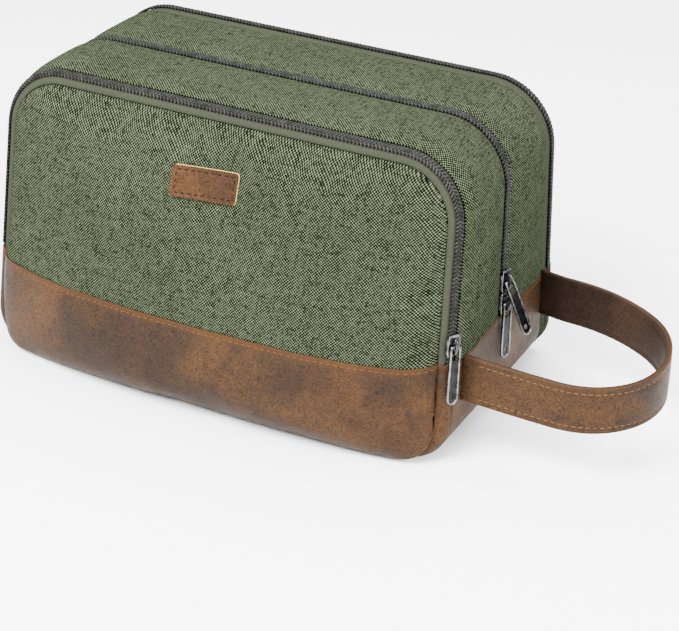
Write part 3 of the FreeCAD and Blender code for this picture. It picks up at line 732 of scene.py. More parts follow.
def panel_grid(inset, low_rows, high_rows):
    """Where the points of a whole panel lie, seen from the front, and each column's lowest and highest z."""
    edge, marks = outline(inset)
    u_of = edge[:, 0] / (half_width(edge[:, 1]) - inset)
    top = slice(marks["top_start"], marks["top_end"] + 1)
    u = u_of[top]
    z_top = edge[top, 1]
    base = np.concatenate([edge[marks["left"]:-1], edge[:marks["right"]]])
    base_u = np.concatenate([u_of[marks["left"]:-1], u_of[:marks["right"]]])
    arc = np.abs(base_u) < 0.99999
    first, last = np.argmax(arc) - 1, len(arc) - np.argmax(arc[::-1])
    z_low = np.interp(u, base_u[first:last + 1], base[first:last + 1, 1])
    rows = [z_low + (LEATHER_TOP - z_low) * (k / low_rows) ** LOW_SPACING for k in range(low_rows)]
    for k in range(high_rows + 1):
        rows.append(z_top - (z_top - LEATHER_TOP) * (1 - k / high_rows) ** HIGH_SPACING)
    z = np.array(rows)
    x = u[None, :] * (half_width(z) - inset)
    return x, z, z_low, z_top


def panel_rise(x, z, inset, z_low, z_top, crown):
    """How far a stuffed panel stands out from its seam plane."""
    side = (half_width(z) - inset) - np.abs(x)
    return crown * side_profile(side) * height_profile(z_top - z, z - z_low)


def panel_points(seam, inset, crown, depth=0.0, low_rows=LOW_ROWS, high_rows=HIGH_ROWS):
    """A panel's surface, depth below its outer face. A crown above 0 stands out to the front."""
    x, z, z_low, z_top = panel_grid(inset, low_rows, high_rows)
    rise = panel_rise(x, z, inset, z_low, z_top, abs(crown))
    sign = 1 if crown > 0 else -1
    if seam is FRONT:
        from_left = half_width(z) - inset + x
        lip = (1 - np.exp(-from_left / LEFT_LIP_START)) * np.exp(-from_left / LEFT_LIP_REACH)
        x = x - LEFT_OVERHANG * lip * rise / crown
        z = z - BASE_DROOP * (1 - np.exp(-(z - z_low))) * np.exp(-(z - z_low) / BASE_DROOP_REACH)
    y = on_seam(seam)(z) - sign * (rise - depth)
    return np.stack([x, y, z], axis=-1)


def sheet_object(name, points, flip):
    """A sheet from a grid of points, whose cloth coordinates are x and z."""
    rows, columns = points.shape[:2]
    weave = points.reshape(-1, 3)[:, [0, 2]]
    return make_mesh(name, points.reshape(-1, 3), grid_faces(rows, columns, flip=flip), weave)


def steps_in(points):
    """How many rows or columns each point of a grid is in from the grid's border."""
    rows, columns = points.shape[:2]
    from_row_ends = np.minimum(np.arange(rows), rows - 1 - np.arange(rows))
    from_column_ends = np.minimum(np.arange(columns), columns - 1 - np.arange(columns))
    return np.minimum.outer(from_row_ends, from_column_ends)


def settle(points, crown, cap, seed):
    """Lets a stuffed panel find its own shape as cloth, held at its seam, and gives its new points."""
    lumps = sum(wander(points, *lump, seed + 5 * k) for k, lump in enumerate(LUMPS))
    edge = steps_in(points)
    start = points.copy()
    start[..., 1] -= np.sign(crown) * lumps * np.clip(edge / 6, 0, 1)
    obj = sheet_object("settling", start, flip=crown > 0)
    pins = obj.vertex_groups.new(name="pins")
    held = [i for i, e in enumerate(edge.ravel()) if e == 0]
    pins.add(held, 1.0, "REPLACE")
    cloth = obj.modifiers.new("cloth", "CLOTH")
    cloth.settings.quality = 8
    cloth.settings.mass = 0.25
    cloth.settings.tension_stiffness = 30
    cloth.settings.compression_stiffness = 30
    cloth.settings.shear_stiffness = 12
    cloth.settings.bending_stiffness = 6
    cloth.settings.shrink_min = -0.012
    cloth.settings.vertex_group_mass = "pins"
    cloth.settings.effector_weights.gravity = 0
    cloth.settings.use_pressure = True
    cloth.settings.uniform_pressure_force = 0.25
    cloth.point_cache.frame_end = 20
    for step in range(1, 21):
        bpy.context.scene.frame_set(step)
    graph = bpy.context.evaluated_depsgraph_get()
    settled = obj.evaluated_get(graph).data
    moved = vertex_points(settled).reshape(points.shape) - start
    bpy.context.scene.frame_set(1)
    bpy.data.objects.remove(obj)
    length = np.linalg.norm(moved, axis=-1, keepdims=True)
    calm = np.clip(np.arange(len(points)) / CALM_ROWS, CALM_LEAST, 1)[:, None, None]
    return start + moved * calm * np.minimum(1, cap / np.maximum(length, 1e-9))


def surface_normals(points, sign):
    """Outward directions of a grid surface whose outside faces -Y (sign 1) or +Y (sign -1)."""
    by_row = np.gradient(points, axis=0)
    by_column = np.gradient(points, axis=1)
    normal = np.cross(by_row, by_column)
    normal /= np.maximum(np.linalg.norm(normal, axis=-1, keepdims=True), 1e-9)
    return normal * np.where(normal[..., 1:2] * sign > 0, -1, 1)


def tuck(points, sign):
    """Turns a panel's border rows in, so that its seam lies in a groove."""
    made = points.copy()
    made[..., 1] += sign * np.where(steps_in(points) == 0, SEAM_TUCK, 0.0)
    return made


def front_panel():
    """The front panel: canvas above, leather below with a folded and stitched top edge."""
    even = panel_points(FRONT, FRONT_SEAM_INSET, FRONT_CROWN)
    points = settle(even, FRONT_CROWN, FRONT_SETTLING, 1)
    pressed_in = np.maximum(0, points[..., 1] - even[..., 1])
    points = tuck(points, 1)
    normals = surface_normals(points, 1)
    canvas = sheet_object("front_panel_cloth", points[LOW_ROWS - 1:], flip=True)
    thicken(canvas, CANVAS)
    dress(canvas, CANVAS_LOOK, ("front_canvas_panel", "front_canvas_lower"), bend=FRONT_FOLD)

    leather = points[:LOW_ROWS + 1] + normals[:LOW_ROWS + 1] * LEATHER_LIFT
    skin = sheet_object("front_leather_skin", leather, flip=True)
    mark_worn(skin, worn_at_top)
    thicken(skin, LEATHER, SOFT_EDGE)
    dress(skin, LEATHER_LOOK, ("front_leather_panel",), body="bag")

    row = leather[LOW_ROWS - 1] + (leather[LOW_ROWS] - leather[LOW_ROWS - 1]) * STITCH_ROW_PART
    thread = stitches("front_leather_stitches", row[2:-2], normals[LOW_ROWS][2:-2])
    dress(thread, TAN_THREAD, body="bag")
    return points, pressed_in


def mark_worn(obj, rule):
    """Stores how worn each vertex is, from 0 to 1."""
    worn = np.clip(rule(vertex_points(obj.data)), 0, 1).astype(np.float32)
    obj.data.attributes.new("worn", "FLOAT", "POINT").data.foreach_set("value", worn)


def worn_at_top(points):
    """The leather's folded top edge is worn pale."""
    return np.exp(-np.abs(LEATHER_TOP - points[:, 2]) / 1.2)


def rear_panel():
    """The rear panel, all canvas."""
    even = panel_points(REAR, REAR_SEAM_INSET, -REAR_CROWN)
    points = settle(even, -REAR_CROWN, REAR_SETTLING, 2)
    pressed_in = np.minimum(0, points[..., 1] - even[..., 1])
    points = tuck(points, -1)
    canvas = sheet_object("rear_panel_cloth", points, flip=False)
    thicken(canvas, CANVAS)
    dress(canvas, CANVAS_LOOK, ("rear_canvas_panel", "rear_canvas_lower"), bend=REAR_FOLD)
    return pressed_in


def slab(name, near, far, flip):
    """A solid layer between two grids of points that lie one behind the other."""
    rows, columns = near.shape[:2]
    count = rows * columns
    points = np.concatenate([near.reshape(-1, 3), far.reshape(-1, 3)])
    faces = grid_faces(rows, columns, flip=flip)
    faces += [tuple(count + v for v in face) for face in grid_faces(rows, columns, flip=not flip)]
    order = np.arange(count).reshape(rows, columns)
    rim = [*order[0, :-1], *order[:-1, -1], *order[-1, :0:-1], *order[:0:-1, 0]]
    for k, a in enumerate(rim):
        b = rim[(k + 1) % len(rim)]
        face = (int(b), int(a), int(a) + count, int(b) + count)
        faces.append(face[::-1] if flip else face)
    return grid_object(name, points, faces)


def panel_insides(front_pressed_in, rear_pressed_in):
    """Foam and lining behind each outer panel, pressed in where the canvas is."""
    for side, seam, seam_inset, crown, bend, pressed_in in (
            ("front", FRONT, FRONT_SEAM_INSET, FRONT_CROWN - INSIDE_CROWN_LOSS, FRONT_FOLD,
             front_pressed_in),
            ("rear", REAR, REAR_SEAM_INSET, INSIDE_CROWN_LOSS - REAR_CROWN, REAR_FOLD,
             rear_pressed_in)):
        inset = seam_inset + LINING_INSET
        layers = [panel_points(seam, inset, crown, depth) for depth in (*FOAM_DEPTHS, LINING_DEPTH)]
        for layer in layers:
            layer[..., 1] += pressed_in
        near, far, points = layers
        foam = slab(side + "_foam", near[2:-2, 4:-4], far[2:-2, 4:-4], flip=crown > 0)
        dress(foam, FOAM_LOOK, (side + "_panel_padding", side + "_lower_padding"), bend=bend)
        hem = steps_in(points) == 0
        points[hem] = panel_points(seam, inset, crown, HEM_DEPTH)[hem]
        lining = sheet_object(side + "_pocket_lining", points, flip=crown > 0)
        thicken(lining, LINING)
        dress(lining, LINING_LOOK, (side + "_panel_lining", side + "_lower_lining"), bend=bend)


def dividers():
    """The cloth walls between the pockets and the main compartment."""
    for side, seam, shift in (("front", FRONT, FRONT_DIVIDER_SHIFT), ("rear", REAR, REAR_DIVIDER_SHIFT)):
        plane = {"y": seam["y"] + shift, "lean": seam["lean"]}
        points = panel_points(plane, DIVIDER_INSET, 0.001, 0.0, 10, 18)
        points[..., 1] += wander(points, 60.0, 2.0, 9) * 0.5
        cloth = sheet_object(side + "_divider_cloth", points, flip=side == "front")
        thicken(cloth, DIVIDER)
        dress(cloth, LINING_LOOK, (side + "_divider",), body="bag")


# ---- gusset, base and bands ----

def puffed(start, end, puff, count, shift_start, shift_end):
    """The line of a strip that swells a little between two seams."""
    line = []
    for k in range(count + 1):
        part = k / count
        plane = between(on_seam(start, shift_start), on_seam(end, shift_end), part)
        line.append((-puff * (1 - abs(2 * part - 1) ** 3.5), plane))
    return line


def shell_strip(name, stations, line, seed, flat_below=None):
    """A strip of the shell that swells between its seams and isn't quite even, and its grid of points."""
    obj = band(name, stations, [(0.0, plane) for _, plane in line])
    grid = vertex_points(obj.data).reshape(len(line), len(stations), 3)
    swell = np.array([-inset for inset, _ in line])[:, None] * (1 + wander(grid, 40.0, 0.8, seed))
    if flat_below is not None:
        swell = swell * np.clip((grid[..., 2] - flat_below) / 25.0, 0, 1)
    for axis, k in ((0, 0), (2, 1)):
        inward = np.interp(np.mod(stations, ALONG[-1]), ALONG, INWARD[:, k])
        grid[..., axis] -= inward[None, :] * swell
    move_vertices(obj.data, grid)
    return obj, grid


def gusset():
    """The canvas round the top and sides, between the zips."""
    for name, node_name, start, end, shifts, puff, seed in (
            ("gusset_front_cloth", "gusset_front_canvas", FRONT, MIDDLE, GUSSET_FRONT_EDGES,
             GUSSET_FRONT_PUFF, 3),
            ("gusset_rear_cloth", "gusset_rear_canvas", MIDDLE, REAR, GUSSET_REAR_EDGES,
             GUSSET_REAR_PUFF, 4)):
        obj, _ = shell_strip(name, UPPER, puffed(start, end, puff, 22, *shifts), seed)
        thicken(obj, CANVAS, SOFT_EDGE)
        dress(obj, CANVAS_LOOK, (node_name,), body="bag")


def base():
    """The leather round the lower sides and the base, with its stitched top edges."""
    line = puffed(FRONT, REAR, BASE_PUFF, 34, *BASE_EDGES)
    obj, grid = shell_strip("base_skin", LOWER, line, 6, BASE_FLAT_BELOW)
    mark_worn(obj, worn_at_top)
    lift = np.clip((grid[..., 2] - LIFT_START) / LIFT_REACH, 0, 1) * LEATHER_LIFT
    from_zip = np.abs(grid[..., 1] - on_seam(MIDDLE)(grid[..., 2]))
    dent = np.clip((grid[..., 2] - LEATHER_TOP + SLIDER_DENT_DROP) / SLIDER_DENT_FADE, 0, 1)
    dent *= np.exp(-(from_zip / SLIDER_DENT_REACH) ** 4)
    grid[..., 0] += np.sign(grid[..., 0]) * (lift - dent * SLIDER_DENT)
    move_vertices(obj.data, grid)
    thicken(obj, LEATHER, SOFT_EDGE)
    dress(obj, LEATHER_LOOK, ("base_leather",), body="bag")
    for side, sign in (("right", 1), ("left", -1)):
        route = base_stitch_route(grid, sign)
        normals = np.tile([float(sign), 0.0, 0.0], (len(route), 1))
        thread = stitches(f"base_{side}_stitches", route[1:-1], normals[1:-1])
        dress(thread, TAN_THREAD, body="bag")


def base_stitch_route(grid, sign):
    """Where the base leather is stitched on the right side (sign 1) or the left side (sign -1)."""
    route = []
    for row in grid:
        side = row[row[:, 0] * sign > 100]
        side = side[np.argsort(side[:, 2])]
        height = LEATHER_TOP - LEATHER_STITCH_DROP
        route.append([np.interp(height, side[:, 2], side[:, k]) for k in range(3)])
    return np.array(route)


def bands():
    """The strips that go on round the base below the ends of the outer zips."""
    front = [(7.4, 1.8), (FRONT_SEAM_INSET, 0.0), (3.2, 0.3), (0.6, 2.6), (-0.3, 5.2), (0.6, 6.6)]
    obj = band("front_band_skin", LOWER, section_line(FRONT, front, 14))
    mark_worn(obj, worn_at_top)
    thicken(obj, LEATHER * 0.8, SOFT_EDGE)
    dress(obj, LEATHER_LOOK, ("front_band_leather",), body="bag")

    rear = [(0.2, -11.7), (-0.2, -8.0), (0.0, -4.5), (1.2, -1.6), (3.4, 0.0)]
    obj = band("rear_band_cloth", LOWER, section_line(REAR, rear, 14))
    thicken(obj, CANVAS, SOFT_EDGE)
    dress(obj, CANVAS_LOOK, ("rear_band_canvas",), body="bag")

    # A dark round tube along the base's rear seam.
    dark_tube = place(LOWER, DARK_TUBE_INSET, on_seam(REAR, DARK_TUBE_SHIFT))
    backward = np.tile([0.0, 1.0, 0.0], (len(dark_tube), 1))
    obj = tube("rear_base_dark_tube", dark_tube, backward, DARK_TUBE_RADIUS, 10)
    dress(obj, DARK_EDGE_LOOK, body="bag")


# ---- zips ----

def zip_chain(seam, centre, direction):
    length = math.hypot(*direction)
    return {"seam": seam, "centre": centre, "across": (direction[0] / length, direction[1] / length)}


FRONT_ZIP = zip_chain(FRONT, (1.5, 2.85), (-3.0, 5.3))
MAIN_ZIP = zip_chain(MIDDLE, (0.0, 0.0), (-0.208, 0.978))
REAR_ZIP = zip_chain(REAR, (-0.3, -3.2), (0.5, 5.5))


def section_point(chain, across, outward):
    """(inset, shift) of a place measured across a zip and out from its middle."""
    inset_step, shift_step = chain["across"]
    return (chain["centre"][0] + across * inset_step - outward * shift_step,
            chain["centre"][1] + across * shift_step + outward * inset_step)


def coil(name, chain, side):
    """One coil of a zip: a flattened helix of nylon wire on a cord coloured near black as painted shade, out
    of step with its partner.
    """
    turns = int((LEFT - RIGHT) / PITCH) - 1
    steps = 12
    angle = np.arange(turns * steps + 1) * 2 * math.pi / steps
    middle, reach = (TOOTH_FAR + TOOTH_NEAR) / 2, (TOOTH_FAR - TOOTH_NEAR) / 2
    across = side * (middle + reach * np.cos(angle))
    outward = TOOTH_RISE * np.sign(np.sin(angle)) * np.abs(np.sin(angle)) ** 0.7
    first = 0.75 if side > 0 else 0.25
    s = RIGHT + PITCH * (angle / (2 * math.pi) + first) - TOOTH_SLANT / 2 * np.cos(angle)
    inset, shift = section_point(chain, across, outward)
    plane = on_seam(chain["seam"], shift)
    run = place(s + 0.5, inset, plane) - place(s - 0.5, inset, plane)
    points, faces = tube_mesh(place(s, inset, plane), run, WIRE)
    s = s[::3]
    inset, shift = section_point(chain, side * (middle + CORD_SHIFT), 0.0)
    backward = np.tile([1e-6, 1.0, 0.0], (len(s), 1))
    core = place(s, inset, on_seam(chain["seam"], shift))
    core_points, core_faces = tube_mesh(core, backward, CORD, 8)
    faces += [tuple(len(points) + v for v in face) for face in core_faces]
    obj = grid_object(name, np.concatenate([points, core_points]), faces)
    # The cord's near-black look is painted shade between the turns of wire.
    obj.data.materials.append(NYLON_LOOK)
    obj.data.materials.append(CORD_SHADE_LOOK)
    slots = [0] * (len(faces) - len(core_faces)) + [1] * len(core_faces)
    obj.data.polygons.foreach_set("material_index", slots)
    return obj


def zip_tape(name, chain, side, route):
    """A zip's woven tape, from under its coil along a route of (inset, shift)."""
    start = [section_point(chain, side * 0.02, -0.95), section_point(chain, side * 2.4, -0.95)]
    line = start + route
    if side < 0:
        line = line[::-1]
    return thicken(band(name, UPPER, section_line(chain["seam"], line, 12)), TAPE)


def zips():
    """Tapes and coils of the three zips."""
    front_face = [(4.6, 0.35), (FRONT_SEAM_INSET - 0.2, 0.05), (7.5, 1.8)]
    rear_face = [(0.5, -6.9), (0.3, -10.0), (1.3, -13.0), (1.35, -18.0)]
    rear_back = [(1.9, -0.1), (4.4, -1.0), (8.0, 0.2)]
    zip_half("front_zip_face", FRONT_ZIP, -1, front_face, "front_zip_outer", FRONT_FOLD)
    zip_half("front_zip_back", FRONT_ZIP, 1, [(1.35, 6.8), (1.35, 14.5)], "front_zip_inner")
    zip_half("main_zip_face", MAIN_ZIP, -1, [(1.1, -4.5), (1.35, -14.0)], "main_zip_front")
    zip_half("main_zip_back", MAIN_ZIP, 1, [(1.1, 4.6), (1.35, 14.0)], "main_zip_rear")
    zip_half("rear_zip_face", REAR_ZIP, -1, rear_face, "rear_zip_inner")
    zip_half("rear_zip_back", REAR_ZIP, 1, rear_back, "rear_zip_outer", REAR_FOLD)


def zip_half(name, chain, side, route, node_start, bend=None):
    """A tape and its coil. Those on an outer panel also stand for the CAD pieces below the fold."""
    tape = zip_tape(name + "_tape", chain, side, route)
    teeth = coil(name + "_teeth", chain, side)
    for obj, look, part in ((tape, TAPE_LOOK, "tape"), (teeth, NYLON_LOOK, "coil")):
        nodes = [f"{node_start}_{part}"]
        if bend:
            nodes.append(f"{node_start}_{part}_ends")
        dress(obj, look, nodes, body=None if bend else "bag", bend=bend)


# ---- sliders and pulls ----

# Each zip slider: which way its wide mouth is turned, 1 up or -1 down
SLIDER_MOUTHS = {"front": -1, "main_upper": -1, "main_lower": 1, "rear": -1}
SLIDER_TOP = 5.7
SLIDER_HALF_LENGTH = 6.0
PLATE_LOW = 1.5
PLATE_HIGH = 2.5
FOOT_HIGH = -2.15
FOOT_HALF = 1.6
ARCH_HALF = 4.1
ARCH_FOOT = 2.3
ARCH_RISE = 2.75
PIVOT_RADIUS = 0.7
PULL_LENGTH = 31.5
PULL_HALF = 3.5
PULL_NECK = 3.2
PULL_THICK = 0.75
PULL_RIM = 1.05
PULL_WINDOW = 7.0
PULL_HOLE = 1.3
PULL_HOLE_FROM_END = 4.4
WEB_THICK = 0.3


def axes_of(name):
    """The directions that a flat metal part's faces look in most, and its vertices, both in millimetres."""
    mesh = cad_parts[name].data
    spread = np.zeros((3, 3))
    for face in mesh.polygons:
        normal = np.array(face.normal)
        spread += face.area * np.outer(normal, normal)
    directions = np.linalg.eigh(spread)[1]
    points = np.array([vertex.co for vertex in mesh.vertices]) / MM
    return directions[:, 0], directions[:, 2], points


def towards(direction, hint):
    return direction if direction @ hint > 0 else -direction


def middle_of(points, direction):
    along = points @ direction
    return (along.min() + along.max()) / 2


def rounded_outline(corners, radius):
    """A closed outline with rounded corners."""
    return np.concatenate(corner_arcs(corners, [radius] * len(corners), 4))


def rounded_box(low, high, radius):
    """A rectangle with rounded corners, from its lowest to its highest corner."""
    return rounded_outline([low, (high[0], low[1]), high, (low[0], high[1])], radius)


def drawn_in(outline, amount):
    """A closed outline moved in towards its middle."""
    along = unit(np.roll(outline, -1, axis=0) - np.roll(outline, 1, axis=0))
    return outline + amount * np.stack([-along[:, 1], along[:, 0]], axis=-1)


def plate_mesh(outline, low, high, bevel):
    """A flat plate with softened edges."""
    inner = drawn_in(outline, bevel)
    layers = [(inner, low), (outline, low + bevel), (outline, high - bevel), (inner, high)]
    points = np.concatenate([np.column_stack([ring, np.full(len(ring), z)]) for ring, z in layers])
    count = len(outline)
    faces = grid_faces(4, count, closed=True)
    faces += [tuple(range(count))[::-1], tuple(range(3 * count, 4 * count))]
    return points, faces


def frame_mesh(inner, outer, low, high, bevel):
    """A flat ring between two closed outlines with as many points as each other."""
    width = np.linalg.norm(outer - inner, axis=1)[:, None]
    soft = np.minimum(bevel / width, 0.4)
    section = [(soft, low), (1 - soft, low), (1, low + bevel), (1, high - bevel),
               (1 - soft, high), (soft, high), (0, high - bevel), (0, low + bevel)]
    rings = []
    for part, z in section:
        rings.append(np.column_stack([inner + (outer - inner) * part, np.full(len(inner), z)]))
    points = np.array(rings)
    rows, columns = points.shape[:2]
    faces = grid_faces(rows + 1, columns, closed=True)
    return points.reshape(-1, 3), [tuple(v % (rows * columns) for v in face) for face in faces]


def metal_piece(name, parts, origin, axes):
    """One object from parts, each (points, faces, material, smooth), placed by its origin and axes."""
    points, faces, slots, smooth, looks = [], [], [], [], []
    for part_points, part_faces, look, is_smooth in parts:
        offset = len(points)
        if look not in looks:
            looks.append(look)
        points += (origin + np.asarray(part_points) @ axes).tolist()
        faces += [tuple(offset + v for v in face) for face in part_faces]
        slots += [looks.index(look)] * len(part_faces)
        smooth += [is_smooth] * len(part_faces)
    obj = make_mesh(name, points, faces)
    for look in looks:
        obj.data.materials.append(look)
    obj.data.polygons.foreach_set("material_index", slots)
    obj.data.polygons.foreach_set("use_smooth", smooth)
    return obj


def slider(name, mouth):
    """A zip slider: its shield plate with side flanges, its foot, and the arch that holds the pull."""
    node_name = name + "_slider"
    along, outward, points = axes_of(node_name)
    centre = points.mean(axis=0)
    along = towards(along, np.array([0.0, 0.0, 1.0])) * mouth
    outward = towards(outward, np.array([centre[0], centre[1] * 0.2, 0.0]))
    across = np.cross(along, outward)
    origin = (along * middle_of(points, along) + across * middle_of(points, across)
              + outward * ((points @ outward).max() - SLIDER_TOP))
    end = SLIDER_HALF_LENGTH
    shield = rounded_outline([(-3.4, -end), (3.4, -end), (3.8, -1.5), (4.1, 2.0), (3.5, end), (0.0, 5.2),
                              (-3.5, end), (-4.1, 2.0), (-3.8, -1.5)], 0.7)
    foot = rounded_box((-FOOT_HALF, -end), (FOOT_HALF, end), 0.6)
    post = rounded_box((-0.4, 2.0), (0.4, 5.0), 0.2)
    plates = [(shield, PLATE_LOW, PLATE_HIGH, 0.3, BRIGHT_METAL_LOOK),
              (drawn_in(shield, 1.1), PLATE_HIGH - 0.1, PLATE_HIGH + 0.25, 0.15, GUNMETAL_LOOK),
              (foot, FOOT_HIGH - 1.0, FOOT_HIGH, 0.25, GUNMETAL_LOOK),
              (post, FOOT_HIGH - 0.2, PLATE_LOW + 0.2, 0.1, GUNMETAL_LOOK)]
    for middle in (-3.6, 3.6):
        flange = rounded_box((middle - 0.3, -3.5), (middle + 0.3, 4.5), 0.25)
        plates.append((flange, 0.2, PLATE_LOW + 0.2, 0.15, BRIGHT_METAL_LOOK))
    parts = [(*plate_mesh(*plate), look, False) for *plate, look in plates]
    turns = np.linspace(0, math.pi, 17)
    arch = np.column_stack([np.zeros(17), ARCH_HALF * np.cos(turns),
                            ARCH_FOOT + ARCH_RISE * np.sin(turns) ** 0.6])
    sideways = np.tile([1.0, 0.0, 0.0], (17, 1))
    parts.append((*tube_mesh(arch, sideways, 1.05, 10, 0.55), GUNMETAL_LOOK, True))
    obj = metal_piece(name + "_slider_body", parts, origin, np.array([across, along, outward]))
    dress(obj, GUNMETAL_LOOK, (node_name,), body=node_name)


def tab_outline(inset, top):
    """The pull's outline, from its top left corner down round its foot: a narrow neck and a round end."""
    count = 14
    wide, neck = PULL_HALF - inset, PULL_NECK - inset
    foot = PULL_HALF - PULL_LENGTH
    turns = np.linspace(math.pi, 2 * math.pi, count)
    left = stretch((-neck, top), (-wide, foot), count)
    round_end = [np.array([wide * math.cos(a), foot + wide * math.sin(a)]) for a in turns]
    right = stretch((wide, foot), (neck, top), count)
    over = stretch((neck, top), (-neck, top), 6)
    return np.array(left + round_end[:-1] + right + over)


def holed(outline, centre, radius, count=56):
    """A hole's circle, and the points of an outline on the same rays from its centre."""
    turns = np.arange(count) * 2 * math.pi / count
    rays = np.stack([np.cos(turns), np.sin(turns)], axis=-1)
    edge = outline - centre
    bearing = np.unwrap(np.arctan2(edge[:, 1], edge[:, 0]))
    reach = np.linalg.norm(edge, axis=1)
    order = np.argsort(np.mod(bearing, 2 * math.pi))
    far = np.interp(turns, np.mod(bearing, 2 * math.pi)[order], reach[order], period=2 * math.pi)
    return centre + rays * radius, centre + rays * far[:, None]


def pull(name):
    """A pull: a bright rounded rim, a dark recessed web with a hole, an open window, and its pivot."""
    node_name = name + "_pull"
    long_way, outward, points = axes_of(node_name)
    slider_points = axes_of(name + "_slider")[2]
    centre = points.mean(axis=0)
    down = towards(long_way, centre - slider_points.mean(axis=0))
    outward = towards(outward, np.array([centre[0], centre[1] * 0.2, 0.0]))
    across = np.cross(-down, outward)
    origin = (down * ((points @ down).min() + PIVOT_RADIUS) + across * middle_of(points, across)
              + outward * middle_of(points, outward))
    outer, inner = tab_outline(0.0, 0.55), tab_outline(PULL_RIM, -PIVOT_RADIUS)
    parts = [(*frame_mesh(inner, outer, -PULL_THICK, PULL_THICK, 0.32), BRIGHT_METAL_LOOK, True)]
    web = tab_outline(PULL_RIM - 0.15, -PULL_WINDOW)
    hole, rim = holed(web, np.array([0.0, PULL_HOLE_FROM_END - PULL_LENGTH]), PULL_HOLE)
    parts.append((*frame_mesh(hole, rim, -WEB_THICK, WEB_THICK, 0.1), DARK_METAL_LOOK, False))
    pivot = np.array([[-PULL_NECK, 0.0, 0.0], [0.0, 0.0, 0.0], [PULL_NECK, 0.0, 0.0]])
    upright = np.tile([0.0, 1.0, 0.0], (3, 1))
    parts.append((*tube_mesh(pivot, upright, 0.65, 12), BRIGHT_METAL_LOOK, True))
    obj = metal_piece(name + "_pull_tab", parts, origin, np.array([across, -down, outward]))
    dress(obj, GUNMETAL_LOOK, (node_name,), body=node_name)


def hardware():
    """Every slider and pull."""
    for name, mouth in SLIDER_MOUTHS.items():
        slider(name, mouth)
        pull(name)


# ---- carrying loop ----

STRAP_BEND = ("bag", "strap", (STRAP_BEND_X[0] * MM, 0, STRAP_HEIGHT * MM),
              (STRAP_BEND_X[1] * MM, 0, STRAP_HEIGHT * MM))


def strap_path():
    """The loop's middle line seen from above, from the front root to the rear root."""
    point = np.array([STRAP_HINGE_X + STRAP_FRONT_LEG, STRAP_FRONT_Y])
    seam_front = np.array([STRAP_SEAM_X, STRAP_FRONT_SEAM_Y])
    bend = np.array([STRAP_HINGE_X, STRAP_FRONT_Y])
    points = stretch(seam_front, bend, 6) + stretch(bend, point, 16)
    heading = 0.0
    for radius, turn in STRAP_ARCS:
        left = math.radians(heading + 90)
        centre = point + radius * np.array([math.cos(left), math.sin(left)])
        steps = int(radius * math.radians(turn) / 2.2)
        for k in range(steps):
            angle = math.radians(heading - 90 + turn * k / steps)
            points.append(centre + radius * np.array([math.cos(angle), math.sin(angle)]))
        heading += turn
        angle = math.radians(heading - 90)
        point = centre + radius * np.array([math.cos(angle), math.sin(angle)])
    slope = math.tan(math.radians(heading))
    rear = np.array([STRAP_HINGE_X, point[1] + (STRAP_HINGE_X - point[0]) * slope])
    points += stretch(point, rear, 8) + stretch(rear, (STRAP_SEAM_X, STRAP_REAR_SEAM_Y), 6)
    points.append(np.array([STRAP_SEAM_X, STRAP_REAR_SEAM_Y]))
    points = np.array(points)
    for _ in range(3):
        points[1:-1] = points[1:-1] * 0.5 + (points[:-2] + points[2:]) * 0.25
    return points


def strap_section(thickness, outside):
    """One layer's section, as (outward, up) points: a rounded strip, pressed in along its stitch lines."""
    half = STRAP_WIDTH / 2
    steps = 26
    face = []
    for k in range(steps + 1):
        up = -half + 0.6 + (STRAP_WIDTH - 1.2) * k / steps
        near_stitch = min(abs(abs(up) - (half - STRAP_STITCH_INSET)) / 1.6, 1.0)
        out = thickness - 0.28 * (1 - near_stitch ** 2) + 0.15 * (1 - (up / half) ** 2)
        face.append((out, up))
    back = [(0.05, half - 0.15), (0.05, -half + 0.15)]
    section = [(thickness * 0.62, -half + 0.1)] + face + [(thickness * 0.62, half - 0.1)] + back
    return [(out if outside else -out, up) for out, up in section]


def strap_heights(path):
    """How high the loop's middle line runs: its front leg dips a little, and its rear leg rises."""
    run = run_along(path)
    wave = np.sin(2 * math.pi * run / run[-1])
    return STRAP_HEIGHT + np.where(wave > 0, -STRAP_DIP, -STRAP_RISE) * wave


def strap_layer(name, path, outside, nodes, look):
    along = unit(np.gradient(path, axis=0))
    out = np.stack([along[:, 1], -along[:, 0]], axis=-1)
    section = strap_section(STRAP_LAYER, outside)
    rings = []
    for k, (point, middle) in enumerate(zip(path, strap_heights(path))):
        rings.append([(*(point + out[k] * depth), middle + up) for depth, up in section])
    count = len(section)
    faces = grid_faces(len(path), count, closed=True, flip=outside)
    ends = [tuple(range(count)), tuple(range((len(path) - 1) * count, len(path) * count))[::-1]]
    faces += [end if outside else end[::-1] for end in ends]
    obj = grid_object(name, np.array(rings).reshape(-1, 3), faces)
    from_edge = STRAP_WIDTH / 2 - np.abs([up for _, up in section])
    worn = np.tile(np.exp(-from_edge) * 0.8, len(path))
    mark_worn(obj, lambda points: worn)
    dress(obj, look, nodes, bend=STRAP_BEND)
    return out


def strap():
    """The loop: two leather strips sewn back to back."""
    path = strap_path()
    out = strap_layer("strap_face", path, True, ("strap_outer", "strap_outer_roots"), LEATHER_LOOK)
    strap_layer("strap_back", path, False, ("strap_inner", "strap_inner_roots"), STRAP_BACK_LOOK)
    for name, sign in (("strap_upper_stitches", 1), ("strap_lower_stitches", -1)):
        heights = strap_heights(path) + sign * (STRAP_WIDTH / 2 - STRAP_STITCH_INSET)
        route = np.column_stack([path + out * (STRAP_LAYER - 0.2), heights])
        normals = np.column_stack([out, np.zeros(len(path))])
        thread = stitches(name, route[4:-4], normals[4:-4])
        dress(thread, PALE_THREAD, bend=STRAP_BEND)


# ---- label ----

